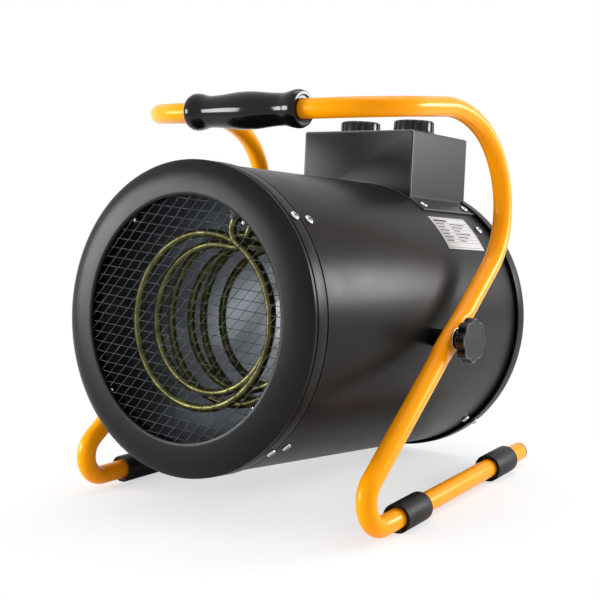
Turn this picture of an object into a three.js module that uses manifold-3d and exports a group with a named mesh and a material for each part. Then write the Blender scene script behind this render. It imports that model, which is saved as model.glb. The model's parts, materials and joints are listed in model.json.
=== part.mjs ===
// Round forced air heater on a bent-tube stand, in millimetres.
// +Z is up, the air leaves towards -Y, and the origin lies on the floor under the middle of the object.
import * as THREE from "three";
import { mergeVertices } from "three/addons/utils/BufferGeometryUtils.js";
import Module from "manifold-3d";

const wasm = await Module();
wasm.setup();

// ---------------------------------------------------------------- driving dimensions

// Between pieces that touch on the real object
const FIT = 0.3;

// Drum; its own frame has the drum axis along +Y and the middle of its length at 0
const CASING_RADIUS = 149;
const SHEET = 1.5;
const DRUM_HALF_LENGTH = 203;
const CASING_INSET = 7; // casing edge inside each ring
const OPENING_RADIUS = CASING_RADIUS - 31.5;
const FRONT_DISH = 6.6; // the opening's rim stands forward of the ring's shoulder
const FRONT_SKIRT = 22;
const REAR_BAND = 15;
const REAR_BAND_STEP = 4; // rear band over the casing
const REAR_RIM_DEPTH = 1.3;
const DRUM_SIDES = 36;

// Tilt joint
const TILT = 6.5; // front up, degrees, as photographed
const PIVOT_HEIGHT = CASING_RADIUS + 19;
const PIVOT_BELOW_AXIS = 11.5;
const PIVOT_BEHIND_MIDDLE = 5;
const STUD_RADIUS = 4;
const STUD_END_INSIDE = CASING_RADIUS - 13;
const BUSH_RADIUS = 9;
const WASHER_RADIUS = 12.5;
const WASHER_THICKNESS = 1.6;
const STAR_RADIUS = 22.4;
const STAR_LOBES = 8;
const STAR_LOBE_DEPTH = 1.9;
const STAR_THICKNESS = 13.5;
const STAR_HUB_RADIUS = 11.5;
const STAR_HUB_LENGTH = 5;
const NUT_PLATE_THICKNESS = 3;
const NUT_PLATE_WIDTH = 40;

// Stand, one bent tube
const TUBE_RADIUS = 10;
const TUBE_WALL = 1.6;
const TUBE_SIDES = 12;
const LEG_ANGLE = 34.7; // from the floor
const HANDLE_HEIGHT = PIVOT_HEIGHT + 230;
const HANDLE_AHEAD = 102; // carrying bar ahead of the pivot
const HANDLE_HALF_WIDTH = CASING_RADIUS + 7; // tube centre at the top of the stand
const FOOT_HALF_WIDTH = CASING_RADIUS + 29.7; // tube centre at the lower bend
const HANDLE_CORNER = 73;
const TOP_SWEEP_RADIUS = 139;
const TOP_SWEEP_ANGLE = 30;
const BACK_BEND_RADIUS = 88;
const FRONT_BEND_RADIUS = 24.5;
const FOOT_LENGTH = 320;
const TOE_IN = 4;
const PRESSED_THICKNESS = 14;
const PRESSED_HALF_LENGTH = 13;
const PRESSED_BLEND = 26;
const PRESSED_SPREAD = 1.2;

// Sleeves, caps and grip on the tube
const SLEEVE_RADIUS = 14.5;
const SLEEVE_LENGTH = 49;
const SLEEVE_LIP = 1.6;
const SLEEVE_FLAT = 0.5;
const FRONT_SLEEVE_FROM_BEND = 51; // sleeve middle behind the front bend
const REAR_SLEEVE_FROM_END = 60;
const CAP_THICKNESS = 3;
const CAP_PLUG_LENGTH = 12;
const GRIP_HALF_LENGTH = 69;
const GRIP_SWELL = 18.9;
const GRIP_WAIST = 16;
const GRIP_WAIST_AT = 45;

// Mesh grilles
const MESH_THICKNESS = 1.4;
const MESH_WIRE = 2;
const MESH_PITCH = 21;
const REAR_MESH_PITCH = 30;
const MESH_ANGLE = 53; // between the two rows of wires
const MESH_TURN = 5; // first row down towards +X
const MESH_RADIUS = OPENING_RADIUS + 6.5;

// Hot air path
const SHIELD_RADIUS = OPENING_RADIUS + 2.5;
const SHIELD_WALL = 1.2;
const SHIELD_FRONT = 9 - DRUM_HALF_LENGTH;
const SHIELD_REAR = DRUM_HALF_LENGTH - 91;
const ELEMENT_TUBE_RADIUS = 4;
const OUTER_LOOP_RADIUS = SHIELD_RADIUS - 34; // each element winds inwards as it goes back
const INNER_LOOP_RADIUS = SHIELD_RADIUS - 48;
const ELEMENT_LOOPS = 2;
const ELEMENT_PITCH = 14;
const ELEMENT_SPACING = 51;
const ELEMENT_COUNT = 3;
const ELEMENT_INSET = 9; // first element end behind the shield's front edge
const FIRST_ELEMENT_START = SHIELD_FRONT + ELEMENT_INSET;
const ELEMENT_END_RADIUS = CASING_RADIUS - 11;
const ELEMENT_TURN_RADIUS = 16;
const ELEMENT_SIDES = 6;
const LOOP_STEPS = 24;
const TERMINAL_ANGLE = 23; // element ends, from the top towards +X
const PLATE_THICKNESS = 2;
const PLATE_WIDTH = 26;
const ELEMENT_NUT_FLATS = 15;
const ELEMENT_NUT_HEIGHT = 8;
const BRACKET_ANGLES = [48, 140];
const BRACKET_WIDTH = 16;
const BRACKET_MIDDLE = 35 - DRUM_HALF_LENGTH;
const BRACKET_FLANGE = 14;

// Fan
const IMPELLER_RADIUS = SHIELD_RADIUS - 6;
const IMPELLER_FRONT = DRUM_HALF_LENGTH - 106;
const HUB_RADIUS = 32;
const HUB_DEPTH = 30;
const BLADE_COUNT = 5;
const BLADE_THICKNESS = 2.2;
const SHAFT_RADIUS = 4;
const MOTOR_RADIUS = 46;
const MOTOR_FRONT = IMPELLER_FRONT + HUB_DEPTH + 4;
const MOTOR_LENGTH = 60;
const ARM_WIDTH = 20;
const ARM_THICKNESS = 2;
const ARM_FLANGE = 18;

// Control box
const BOX_HALF_WIDTH = 72;
const BOX_LENGTH = 118;
const BOX_FRONT = DRUM_HALF_LENGTH - BOX_LENGTH - 7.5;
const BOX_TOP = CASING_RADIUS + 57.2;
const BOX_CORNER = 2.5;
const FLANGE_WIDTH = 22;
const WIRE_OPENING = [50, 26];
const CONTROL_SPACING = 72;
const CONTROL_KNOB_RADIUS = 24.2;
const CONTROL_KNOB_HEIGHT = 16;
const CONTROL_KNOB_FLUTES = 12;
const SPINDLE_RADIUS = 3;
const SWITCH_SIZE = [40, 40, 28];
const THERMOSTAT_SIZE = [36, 32, 20];
const TERMINAL_BLOCK_SIZE = [64, 18, 16];
const CONTACTOR_SIZE = [40, 32, 36];
const CUTOUT_RADIUS = 8;
const CUTOUT_HEIGHT = 9;
const CUTOUT_ANGLE = -30;
const CUTOUT_Y = 30;
const GLAND_BORE = 6;
const GLAND_RADIUS = 11;
const GLAND_LENGTH = 20;
const GLAND_X = 40;
const GLAND_HEIGHT = CASING_RADIUS + 23;

// Flats of a faceted round stand inside its radius by this share
const DRUM_FLAT = Math.cos(Math.PI / DRUM_SIDES);
const CASING_BORE = (CASING_RADIUS - SHEET) * DRUM_FLAT; // clear radius inside the casing

// ---------------------------------------------------------------- finishes

function finish(color, roughness, metalness) {
  return new THREE.MeshStandardMaterial({ color, roughness, metalness });
}
const BLACK_POWDER = finish(0x2c2c2d, 0.5, 0.2);
const BOX_POWDER = finish(0x3a3a3c, 0.45, 0.2);
const ORANGE_ENAMEL = finish(0xffa20c, 0.25, 0);
const GLOSS_BLACK = finish(0x0c0c0d, 0.15, 0);
const BLACK_RUBBER = finish(0x17181a, 0.75, 0);
const BLACK_PLASTIC = finish(0x222224, 0.45, 0);
const ZINC = finish(0xc8ccce, 0.3, 1);
const GALVANISED = finish(0x8d979d, 0.4, 1);
const MESH_STEEL = finish(0x6f7476, 0.4, 1);
const OLIVE_SHEATH = finish(0x6c6a35, 0.35, 1);
const MOTOR_GREY = finish(0x4a4d50, 0.5, 0.6);
const ALUMINIUM = finish(0xa9adb0, 0.4, 1);
const CREAM_PLASTIC = finish(0xd9d4c4, 0.5, 0);

// ---------------------------------------------------------------- geometry helpers

const rad = THREE.MathUtils.degToRad;
const v2 = (x, y) => new THREE.Vector2(x, y);
const v3 = (x, y, z) => new THREE.Vector3(x, y, z);

// Radius of a faceted bore that clears a round of this radius by the fit.
function clearBore(radius, sides) {
  return (radius + FIT) / Math.cos(Math.PI / sides);
}

// A closed geometry as a solid that can be cut and joined.
function solidOf(geometry) {
  const shell = geometry.clone();
  shell.deleteAttribute("normal");
  shell.deleteAttribute("uv");
  const merged = mergeVertices(shell, 1e-3);
  return new wasm.Manifold(
    new wasm.Mesh({
      numProp: 3,
      vertProperties: merged.attributes.position.array,
      triVerts: new Uint32Array(merged.index.array),
    }),
  );
}

function geometryOf(solid) {
  const mesh = solid.getMesh();
  const shared = new THREE.BufferGeometry();
  shared.setAttribute("position", new THREE.BufferAttribute(mesh.vertProperties, 3));
  shared.setIndex(new THREE.BufferAttribute(mesh.triVerts, 1));
  const faceted = shared.toNonIndexed();
  faceted.computeVertexNormals();
  return faceted;
}

function cut(geometry, ...tools) {
  return geometryOf(tools.reduce((rest, tool) => rest.subtract(solidOf(tool)), solidOf(geometry)));
}

function join(geometry, ...others) {
  return geometryOf(others.reduce((sum, other) => sum.add(solidOf(other)), solidOf(geometry)));
}

// Revolves a closed profile of [radius, along] points about +Y.
function revolve(profile, sides) {
  const points = profile.map(([radius, along]) => v2(radius, along));
  const onAxis = profile[0][0] === 0 && profile[profile.length - 1][0] === 0;
  if (THREE.ShapeUtils.area(points) < 0) points.reverse();
  if (!onAxis) points.push(points[0].clone());
  return new THREE.LatheGeometry(points, sides);
}

function tubeSection(inner, outer, from, to, sides) {
  return revolve([[inner, from], [outer, from], [outer, to], [inner, to]], sides);
}

function rod(radius, length, sides) {
  return new THREE.CylinderGeometry(radius, radius, length, sides);
}

function block(size, middle) {
  return new THREE.BoxGeometry(...size).translate(...middle);
}

function polygon(radius, sides, turn = 0) {
  return Array.from({ length: sides }, (_, i) => {
    const angle = turn + (2 * Math.PI * i) / sides;
    return v2(radius * Math.cos(angle), radius * Math.sin(angle));
  });
}

// Extrudes an outline along +Z, with optional holes given as outlines.
function prism(outline, depth, holes = []) {
  const shape = new THREE.Shape(outline);
  shape.holes = holes.map((hole) => new THREE.Path(hole));
  return new THREE.ExtrudeGeometry(shape, { depth, bevelEnabled: false });
}

// Turns an upright piece built along +Y so that it points along +X or -X.
function outwards(geometry, side) {
  return geometry.rotateZ((-side * Math.PI) / 2);
}

function arcPoints(radius, from, to, steps) {
  return Array.from({ length: steps + 1 }, (_, i) => {
    const angle = from + ((to - from) * i) / steps;
    return v2(radius * Math.cos(angle), radius * Math.sin(angle));
  });
}

// A strip bent to the drum: from radius inner to outer, halfWidth along the arc either side of
// the direction +X of the cross-section, and length along the drum axis.
function curvedStrip(inner, outer, halfWidth, length, steps) {
  const reach = halfWidth / outer;
  const outline = [
    ...arcPoints(outer, -reach, reach, steps),
    ...arcPoints(inner, reach, -reach, steps),
  ];
  return prism(outline, length).translate(0, 0, -length / 2);
}

// A tube centreline sampled at chosen stations, close together only where it bends.
class StationPath extends THREE.Curve {
  constructor(stations) {
    super();
    this.stations = stations;
  }
  getPoint(t, target = new THREE.Vector3()) {
    const last = this.stations.length - 1;
    const place = THREE.MathUtils.clamp(t, 0, 1) * last;
    const i = Math.min(Math.floor(place), last - 1);
    return target.lerpVectors(this.stations[i], this.stations[i + 1], place - i);
  }
  getPointAt(u, target) {
    return this.getPoint(u, target);
  }
  getTangentAt(u, target = new THREE.Vector3()) {
    const last = this.stations.length - 1;
    const i = Math.round(THREE.MathUtils.clamp(u, 0, 1) * last);
    const before = this.stations[Math.max(i - 1, 0)];
    const here = this.stations[i];
    const after = this.stations[Math.min(i + 1, last)];
    const arriving = here.clone().sub(before).normalize();
    const leaving = after.clone().sub(here).normalize();
    return target.copy(arriving.add(leaving)).normalize();
  }
}

function sweep(stations, radius, sides) {
  return new THREE.ExtrudeGeometry(new THREE.Shape(polygon(radius, sides, Math.PI / sides)), {
    steps: stations.length - 1,
    extrudePath: new StationPath(stations),
    bevelEnabled: false,
  });
}

function piece(name, geometry, material, parent) {
  const mesh = new THREE.Mesh(geometry, material);
  mesh.name = name;
  parent.add(mesh);
  return mesh;
}

const SIDES = [
  ["right", 1],
  ["left", -1],
];

// ---------------------------------------------------------------- frames of the assembly

const product = new THREE.Group();
const stand = new THREE.Group();
const heater = new THREE.Group();
const drum = new THREE.Group();
product.add(stand, heater);
heater.add(drum);
heater.position.set(0, 0, PIVOT_HEIGHT);
heater.rotation.x = -rad(TILT);
drum.position.set(0, -PIVOT_BEHIND_MIDDLE, PIVOT_BELOW_AXIS);

// ---------------------------------------------------------------- stand

const FOOT_AXIS_HEIGHT = SLEEVE_RADIUS - SLEEVE_FLAT;
const legAngle = rad(LEG_ANGLE);
const sweepAngle = rad(TOP_SWEEP_ANGLE);

// Half width of the stand at a height: the legs spread towards the feet.
function standHalfWidth(height) {
  const share = (height - FOOT_AXIS_HEIGHT) / (HANDLE_HEIGHT - FOOT_AXIS_HEIGHT);
  return THREE.MathUtils.lerp(FOOT_HALF_WIDTH, HANDLE_HALF_WIDTH, share);
}

const PIVOT_HALF_WIDTH = standHalfWidth(PIVOT_HEIGHT);

// Side view of the stand as (y, z), with y = 0 at the pivot.
const upperRun =
  (HANDLE_HEIGHT -
    PIVOT_HEIGHT -
    BACK_BEND_RADIUS * (Math.cos(sweepAngle) + Math.cos(legAngle)) -
    TOP_SWEEP_RADIUS * (1 - Math.cos(sweepAngle))) /
  Math.sin(legAngle);
const lowerRun =
  (PIVOT_HEIGHT - FOOT_AXIS_HEIGHT - FRONT_BEND_RADIUS * (1 + Math.cos(legAngle))) /
  Math.sin(legAngle);
const frontBendY = -lowerRun * Math.cos(legAngle) + FRONT_BEND_RADIUS * Math.sin(legAngle);

function bend(centre, radius, from, to, steps) {
  return Array.from({ length: steps + 1 }, (_, i) => {
    const heading = from + ((to - from) * i) / steps;
    return v2(centre.x + radius * Math.sin(heading), centre.y - radius * Math.cos(heading));
  });
}

function legSideView() {
  const backStart = v2(Math.cos(legAngle), Math.sin(legAngle)).multiplyScalar(upperRun);
  backStart.y += PIVOT_HEIGHT;
  const backCentre = v2(
    backStart.x - BACK_BEND_RADIUS * Math.sin(legAngle),
    backStart.y + BACK_BEND_RADIUS * Math.cos(legAngle),
  );
  const back = bend(backCentre, BACK_BEND_RADIUS, legAngle, Math.PI - sweepAngle, 8);
  const sweepStart = back[back.length - 1];
  const sweepCentre = v2(
    sweepStart.x - TOP_SWEEP_RADIUS * Math.sin(sweepAngle),
    sweepStart.y - TOP_SWEEP_RADIUS * Math.cos(sweepAngle),
  );
  const top = bend(sweepCentre, TOP_SWEEP_RADIUS, Math.PI - sweepAngle, Math.PI, 3);
  const pressed = PRESSED_HALF_LENGTH + PRESSED_BLEND;
  const along = [pressed, pressed * 0.78, pressed * 0.56, PRESSED_HALF_LENGTH];
  const pressedRun = [...along, 0, ...along.map((d) => -d).reverse()].map((d) =>
    v2(d * Math.cos(legAngle), PIVOT_HEIGHT + d * Math.sin(legAngle)),
  );
  const front = bend(
    v2(frontBendY, FOOT_AXIS_HEIGHT + FRONT_BEND_RADIUS),
    FRONT_BEND_RADIUS,
    Math.PI + legAngle,
    2 * Math.PI,
    7,
  );
  return [...top.reverse(), ...back.reverse().slice(1), ...pressedRun, ...front];
}

// Where a point of the foot lies, by its distance behind the front bend.
function footPoint(behindBend, side) {
  return v3(
    side * (FOOT_HALF_WIDTH - behindBend * Math.sin(rad(TOE_IN))),
    frontBendY + behindBend * Math.cos(rad(TOE_IN)),
    FOOT_AXIS_HEIGHT,
  );
}

function standHalf() {
  const corner = arcPoints(HANDLE_CORNER, Math.PI / 2, 0, 6).map((p) =>
    v3(
      HANDLE_HALF_WIDTH - HANDLE_CORNER + p.x,
      -HANDLE_AHEAD + HANDLE_CORNER - p.y,
      HANDLE_HEIGHT,
    ),
  );
  const leg = legSideView().map((p) => v3(standHalfWidth(p.y), p.x, p.y));
  return [v3(0, -HANDLE_AHEAD, HANDLE_HEIGHT), ...corner, ...leg, footPoint(FOOT_LENGTH, 1)];
}

// Presses the leg flat where the clamp holds it: thinner along X, wider across.
function pressFlat(geometry, side) {
  const run = v3(0, Math.cos(legAngle), Math.sin(legAngle));
  const across = v3(0, -Math.sin(legAngle), Math.cos(legAngle));
  const pivot = v3(side * PIVOT_HALF_WIDTH, 0, PIVOT_HEIGHT);
  const lean = (standHalfWidth(PIVOT_HEIGHT + 1) - PIVOT_HALF_WIDTH) * side * Math.sin(legAngle);
  const position = geometry.attributes.position;
  const point = new THREE.Vector3();
  for (let i = 0; i < position.count; i++) {
    point.fromBufferAttribute(position, i).sub(pivot);
    const along = point.dot(run);
    if (Math.abs(point.x) > 2 * TUBE_RADIUS || Math.abs(point.dot(across)) > 2 * TUBE_RADIUS) continue;
    const beyond = Math.abs(along) - PRESSED_HALF_LENGTH;
    const weight = 1 - THREE.MathUtils.smoothstep(beyond, 0, PRESSED_BLEND * 0.98);
    if (weight === 0) continue;
    const half = PRESSED_THICKNESS / 2;
    const offset = THREE.MathUtils.clamp(point.x - lean * along, -half, half);
    const width = point.dot(across) * (PRESSED_SPREAD - 1) * weight;
    point.x = THREE.MathUtils.lerp(point.x, offset, weight);
    point.addScaledVector(across, width).add(pivot);
    position.setXYZ(i, point.x, point.y, point.z);
  }
  return geometry;
}

function makeStandFrame() {
  const right = standHalf();
  const left = right.slice(1).map((p) => v3(-p.x, p.y, p.z));
  const tube = sweep([...left.reverse(), ...right], TUBE_RADIUS, TUBE_SIDES);
  SIDES.forEach(([, side]) => pressFlat(tube, side));
  const tools = SIDES.flatMap(([, side]) => {
    const hole = outwards(rod(STUD_RADIUS + FIT, 4 * TUBE_RADIUS, 12), side);
    const socketLength = CAP_PLUG_LENGTH + 2;
    const end = footPoint(FOOT_LENGTH - socketLength / 2 + 1, side);
    const socket = rod(TUBE_RADIUS - TUBE_WALL, socketLength + 2, TUBE_SIDES).rotateZ(side * rad(TOE_IN));
    return [
      hole.translate(side * PIVOT_HALF_WIDTH, 0, PIVOT_HEIGHT),
      socket.translate(end.x, end.y, end.z),
    ];
  });
  return cut(tube, ...tools);
}

function makeSleeve() {
  const half = SLEEVE_LENGTH / 2;
  const chamfer = 1;
  const sides = 14;
  const bore = clearBore(TUBE_RADIUS, sides);
  const lip = SLEEVE_RADIUS - SLEEVE_LIP;
  const tube = revolve(
    [
      [bore, -half + SLEEVE_LIP],
      [lip, -half + SLEEVE_LIP],
      [lip, -half],
      [SLEEVE_RADIUS - chamfer, -half],
      [SLEEVE_RADIUS, -half + chamfer],
      [SLEEVE_RADIUS, half - chamfer],
      [SLEEVE_RADIUS - chamfer, half],
      [lip, half],
      [lip, half - SLEEVE_LIP],
      [bore, half - SLEEVE_LIP],
    ],
    sides,
  );
  const below = block(
    [3 * SLEEVE_RADIUS, 2 * SLEEVE_LENGTH, SLEEVE_RADIUS],
    [0, 0, -FOOT_AXIS_HEIGHT - SLEEVE_RADIUS / 2],
  );
  return cut(tube, below);
}

function makeEndCap() {
  const plug = TUBE_RADIUS - TUBE_WALL - FIT;
  return revolve(
    [
      [0, -CAP_PLUG_LENGTH],
      [plug - 1, -CAP_PLUG_LENGTH],
      [plug, -CAP_PLUG_LENGTH + 1],
      [plug, FIT],
      [TUBE_RADIUS, FIT],
      [TUBE_RADIUS, CAP_THICKNESS - 1],
      [TUBE_RADIUS - 1.5, CAP_THICKNESS],
      [0, CAP_THICKNESS],
    ],
    TUBE_SIDES,
  );
}

function makeGrip() {
  const end = GRIP_HALF_LENGTH;
  const half = [
    v2(GRIP_SWELL, 0),
    v2(GRIP_SWELL - 0.6, 14),
    v2(GRIP_WAIST + 0.7, GRIP_WAIST_AT - 14),
    v2(GRIP_WAIST, GRIP_WAIST_AT),
    v2(GRIP_WAIST + 1.2, GRIP_WAIST_AT + 9),
    v2(GRIP_SWELL - 0.1, end - 6),
  ];
  const outer = new THREE.SplineCurve(half).getPoints(7).map((p) => [p.x, p.y]);
  const mirrored = outer.slice(1).map(([radius, along]) => [radius, -along]);
  const sides = 16;
  const bore = clearBore(TUBE_RADIUS, sides);
  return revolve(
    [
      [bore, -end],
      [GRIP_WAIST, -end],
      [GRIP_SWELL - 0.8, -end + 2],
      ...mirrored.reverse(),
      ...outer,
      [GRIP_SWELL - 0.8, end - 2],
      [GRIP_WAIST, end],
      [bore, end],
    ],
    sides,
  );
}

function buildStand() {
  piece("stand_frame", makeStandFrame(), ORANGE_ENAMEL, stand);
  const grip = piece("handle_grip", outwards(makeGrip(), 1), GLOSS_BLACK, stand);
  grip.position.set(0, -HANDLE_AHEAD, HANDLE_HEIGHT);
  for (const [name, side] of SIDES) {
    const places = { front: FRONT_SLEEVE_FROM_BEND, rear: FOOT_LENGTH - REAR_SLEEVE_FROM_END };
    for (const [end, distance] of Object.entries(places)) {
      const sleeve = piece(`foot_sleeve_${end}_${name}`, makeSleeve(), BLACK_RUBBER, stand);
      sleeve.position.copy(footPoint(distance, side));
      sleeve.rotation.z = side * rad(TOE_IN);
    }
    const cap = piece(`tube_end_cap_${name}`, makeEndCap(), BLACK_RUBBER, stand);
    cap.position.copy(footPoint(FOOT_LENGTH, side));
    cap.rotation.z = side * rad(TOE_IN);
  }
}

// ---------------------------------------------------------------- tilt clamps

const BUSH_OUTER_END = PIVOT_HALF_WIDTH - PRESSED_THICKNESS / 2 - FIT;
const WASHER_START = PIVOT_HALF_WIDTH + PRESSED_THICKNESS / 2 + FIT;
const HUB_START = WASHER_START + WASHER_THICKNESS + FIT;
const STAR_START = HUB_START + STAR_HUB_LENGTH;
const STAR_END = STAR_START + STAR_THICKNESS;
const STUD_OUTER_END = STAR_END - 5;

function starOutline(radius) {
  const steps = STAR_LOBES * 5;
  return Array.from({ length: steps }, (_, i) => {
    const angle = (2 * Math.PI * i) / steps;
    const wave = (1 - Math.cos(STAR_LOBES * angle)) / 2;
    const reach = radius - STAR_LOBE_DEPTH * wave ** 0.7;
    return v2(reach * Math.cos(angle), reach * Math.sin(angle));
  });
}

function makeClampKnob() {
  const bevel = 1.2;
  const star = new THREE.ExtrudeGeometry(new THREE.Shape(starOutline(STAR_RADIUS - bevel)), {
    depth: STAR_THICKNESS - 2 * bevel,
    bevelSize: bevel,
    bevelThickness: bevel,
    bevelSegments: 1,
  });
  star.rotateX(-Math.PI / 2).translate(0, STAR_START + bevel, 0);
  const hubLength = STAR_HUB_LENGTH + STAR_THICKNESS / 2;
  const hub = rod(STAR_HUB_RADIUS, hubLength, 16).translate(0, HUB_START + hubLength / 2, 0);
  const boreLength = STUD_OUTER_END - HUB_START + 2 * FIT;
  const bore = rod(STUD_RADIUS + FIT, boreLength, 12);
  return cut(join(star, hub), bore.translate(0, STUD_OUTER_END + FIT - boreLength / 2, 0));
}

function makeNutPlate() {
  const outer = CASING_BORE - FIT;
  const inner = outer - NUT_PLATE_THICKNESS;
  const plate = curvedStrip(inner, outer, NUT_PLATE_WIDTH / 2, NUT_PLATE_WIDTH, 6);
  plate.rotateX(-Math.PI / 2); // strip length along +Y, middle towards +X
  const nut = prism(polygon(8, 6), 8).rotateY(Math.PI / 2).translate(inner - 7, 0, 0);
  return join(plate, nut);
}

function buildClamps() {
  const below = Math.asin(PIVOT_BELOW_AXIS / CASING_RADIUS);
  for (const [name, side] of SIDES) {
    const bush = tubeSection(STUD_RADIUS + FIT, BUSH_RADIUS, CASING_RADIUS + FIT, BUSH_OUTER_END, 20);
    piece(`pivot_bush_${name}`, outwards(bush, side), BLACK_PLASTIC, heater);
    const washerEnd = WASHER_START + WASHER_THICKNESS;
    const washer = tubeSection(STUD_RADIUS + FIT, WASHER_RADIUS, WASHER_START, washerEnd, 20);
    piece(`clamp_washer_${name}`, outwards(washer, side), ZINC, heater);
    const studLength = STUD_OUTER_END - STUD_END_INSIDE;
    const stud = rod(STUD_RADIUS, studLength, 12).translate(0, STUD_END_INSIDE + studLength / 2, 0);
    piece(`clamp_stud_${name}`, outwards(stud, side), ZINC, heater);
    piece(`clamp_knob_${name}`, outwards(makeClampKnob(), side), BLACK_PLASTIC, heater);

    const threaded = outwards(rod(STUD_RADIUS + FIT, 60, 12), side);
    threaded.translate(side * CASING_RADIUS, PIVOT_BEHIND_MIDDLE, -PIVOT_BELOW_AXIS);
    const plate = makeNutPlate().rotateY(below);
    if (side < 0) plate.rotateZ(Math.PI);
    plate.translate(0, PIVOT_BEHIND_MIDDLE, 0);
    piece(`nut_plate_${name}`, cut(plate, threaded), ZINC, drum);
  }
}

// ---------------------------------------------------------------- drum shell

function makeCasing() {
  const edge = DRUM_HALF_LENGTH - CASING_INSET;
  const shell = tubeSection(CASING_RADIUS - SHEET, CASING_RADIUS, -edge, edge, DRUM_SIDES);
  const [openingLength, openingWidth] = WIRE_OPENING;
  const openingY = BOX_FRONT + BOX_LENGTH - 20 - openingWidth / 2;
  const opening = block([openingLength, openingWidth, 40], [0, openingY, CASING_RADIUS]);
  const studHole = outwards(rod(STUD_RADIUS + 2 * FIT, 4 * CASING_RADIUS, 12), 1);
  studHole.translate(0, PIVOT_BEHIND_MIDDLE, -PIVOT_BELOW_AXIS);
  return cut(shell, opening, studHole);
}

function makeFrontRing() {
  const skirtInner = CASING_RADIUS + FIT;
  const skirtOuter = skirtInner + SHEET;
  const shoulder = -DRUM_HALF_LENGTH;
  const rim = shoulder - FRONT_DISH;
  const outer = new THREE.CubicBezierCurve(
    v2(skirtOuter - 0.4, shoulder - 0.4),
    v2(skirtOuter - 6, shoulder - 4.6),
    v2(OPENING_RADIUS + 20, rim - 0.3),
    v2(OPENING_RADIUS, rim),
  ).getPoints(4);
  const inner = outer.slice(1).map((p) => [p.x, p.y + SHEET]);
  return revolve(
    [
      [skirtInner, shoulder + FRONT_SKIRT],
      [skirtOuter, shoulder + FRONT_SKIRT],
      [skirtOuter, shoulder + 5],
      [skirtOuter - 0.8, shoulder + 4.2],
      [skirtOuter + 0.5, shoulder + 3.2],
      [skirtOuter + 0.6, shoulder + 1],
      ...outer.map((p) => [p.x, p.y]),
      ...inner.reverse(),
      [skirtInner, shoulder + CASING_INSET - 1],
    ],
    DRUM_SIDES,
  );
}

function makeRearRing() {
  const end = DRUM_HALF_LENGTH;
  const bandOuter = CASING_RADIUS + REAR_BAND_STEP;
  const start = end - REAR_BAND;
  return revolve(
    [
      [bandOuter - SHEET, start],
      [bandOuter, start],
      [bandOuter, end - 2],
      [bandOuter - 2, end],
      [OPENING_RADIUS + 1, end + 1],
      [OPENING_RADIUS, end - REAR_RIM_DEPTH],
      [OPENING_RADIUS + 1.5, end - 0.6],
      [CASING_RADIUS + FIT, end - 3],
      [CASING_RADIUS + FIT, start + 6],
      [bandOuter - SHEET, start + 4],
    ],
    DRUM_SIDES,
  );
}

// Keeps the part of a convex polygon that lies inside a circle of many sides.
function clipToCircle(points, radius, sides) {
  let kept = points;
  for (let i = 0; i < sides; i++) {
    const angle = (2 * Math.PI * i) / sides;
    const normal = v2(Math.cos(angle), Math.sin(angle));
    const next = [];
    kept.forEach((a, j) => {
      const b = kept[(j + 1) % kept.length];
      const da = a.dot(normal) - radius;
      const db = b.dot(normal) - radius;
      if (da <= 0) next.push(a);
      if (da * db < 0) next.push(a.clone().lerp(b, da / (da - db)));
    });
    kept = next;
  }
  return kept;
}

// A disc of crossed wires: rhombic gaps in rows along X and rows at MESH_ANGLE to them.
function makeMesh(pitch) {
  const slope = rad(MESH_ANGLE);
  const rowStep = pitch / Math.sin(slope);
  const gap = (pitch - MESH_WIRE) / Math.sin(slope);
  const along = v2(gap, 0);
  const up = v2(Math.cos(slope), Math.sin(slope)).multiplyScalar(gap);
  const rows = Math.ceil(MESH_RADIUS / pitch) + 1;
  const holes = [];
  for (let row = -rows; row <= rows; row++) {
    for (let column = -2 * rows; column <= 2 * rows; column++) {
      const corner = v2(column * rowStep + (row * pitch) / Math.tan(slope), row * pitch);
      const cell = [
        corner.clone(),
        corner.clone().add(along),
        corner.clone().add(along).add(up),
        corner.clone().add(up),
      ];
      const inside = clipToCircle(cell, OPENING_RADIUS - 1, 24);
      if (inside.length < 3) continue;
      if (THREE.ShapeUtils.area(inside) > 0.2 * THREE.ShapeUtils.area(cell)) holes.push(inside);
    }
  }
  const disc = prism(polygon(MESH_RADIUS, DRUM_SIDES), MESH_THICKNESS);
  const punches = holes.map((hole) => prism(hole, 3 * MESH_THICKNESS).translate(0, 0, -MESH_THICKNESS));
  return cut(disc, ...punches).rotateX(Math.PI / 2).rotateY(rad(MESH_TURN));
}

function buildDrumShell() {
  piece("outer_casing", makeCasing(), BLACK_POWDER, drum);
  piece("front_ring", makeFrontRing(), BLACK_POWDER, drum);
  piece("rear_ring", makeRearRing(), BLACK_POWDER, drum);
  const front = piece("front_grille", makeMesh(MESH_PITCH), MESH_STEEL, drum);
  front.position.y = -DRUM_HALF_LENGTH - FRONT_DISH + SHEET + FIT + MESH_THICKNESS + 0.4;
  const rear = piece("rear_grille", makeMesh(REAR_MESH_PITCH), MESH_STEEL, drum);
  rear.position.y = DRUM_HALF_LENGTH - REAR_RIM_DEPTH - FIT;
}

// ---------------------------------------------------------------- hot air path

function elementStart(index) {
  return FIRST_ELEMENT_START + index * ELEMENT_SPACING;
}

// Both ends of every element, as distances along the drum axis.
function elementEnds() {
  return Array.from({ length: ELEMENT_COUNT }, (_, i) => [
    elementStart(i),
    elementStart(i) + ELEMENT_LOOPS * ELEMENT_PITCH,
  ]).flat();
}

// The winding keeps to the outer radius for two thirds of a turn, then closes in to the inner one.
function loopRadius(angle) {
  const share = THREE.MathUtils.smoothstep(angle, (4 * Math.PI) / 3, 3 * Math.PI);
  return THREE.MathUtils.lerp(OUTER_LOOP_RADIUS, INNER_LOOP_RADIUS, share);
}

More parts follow.
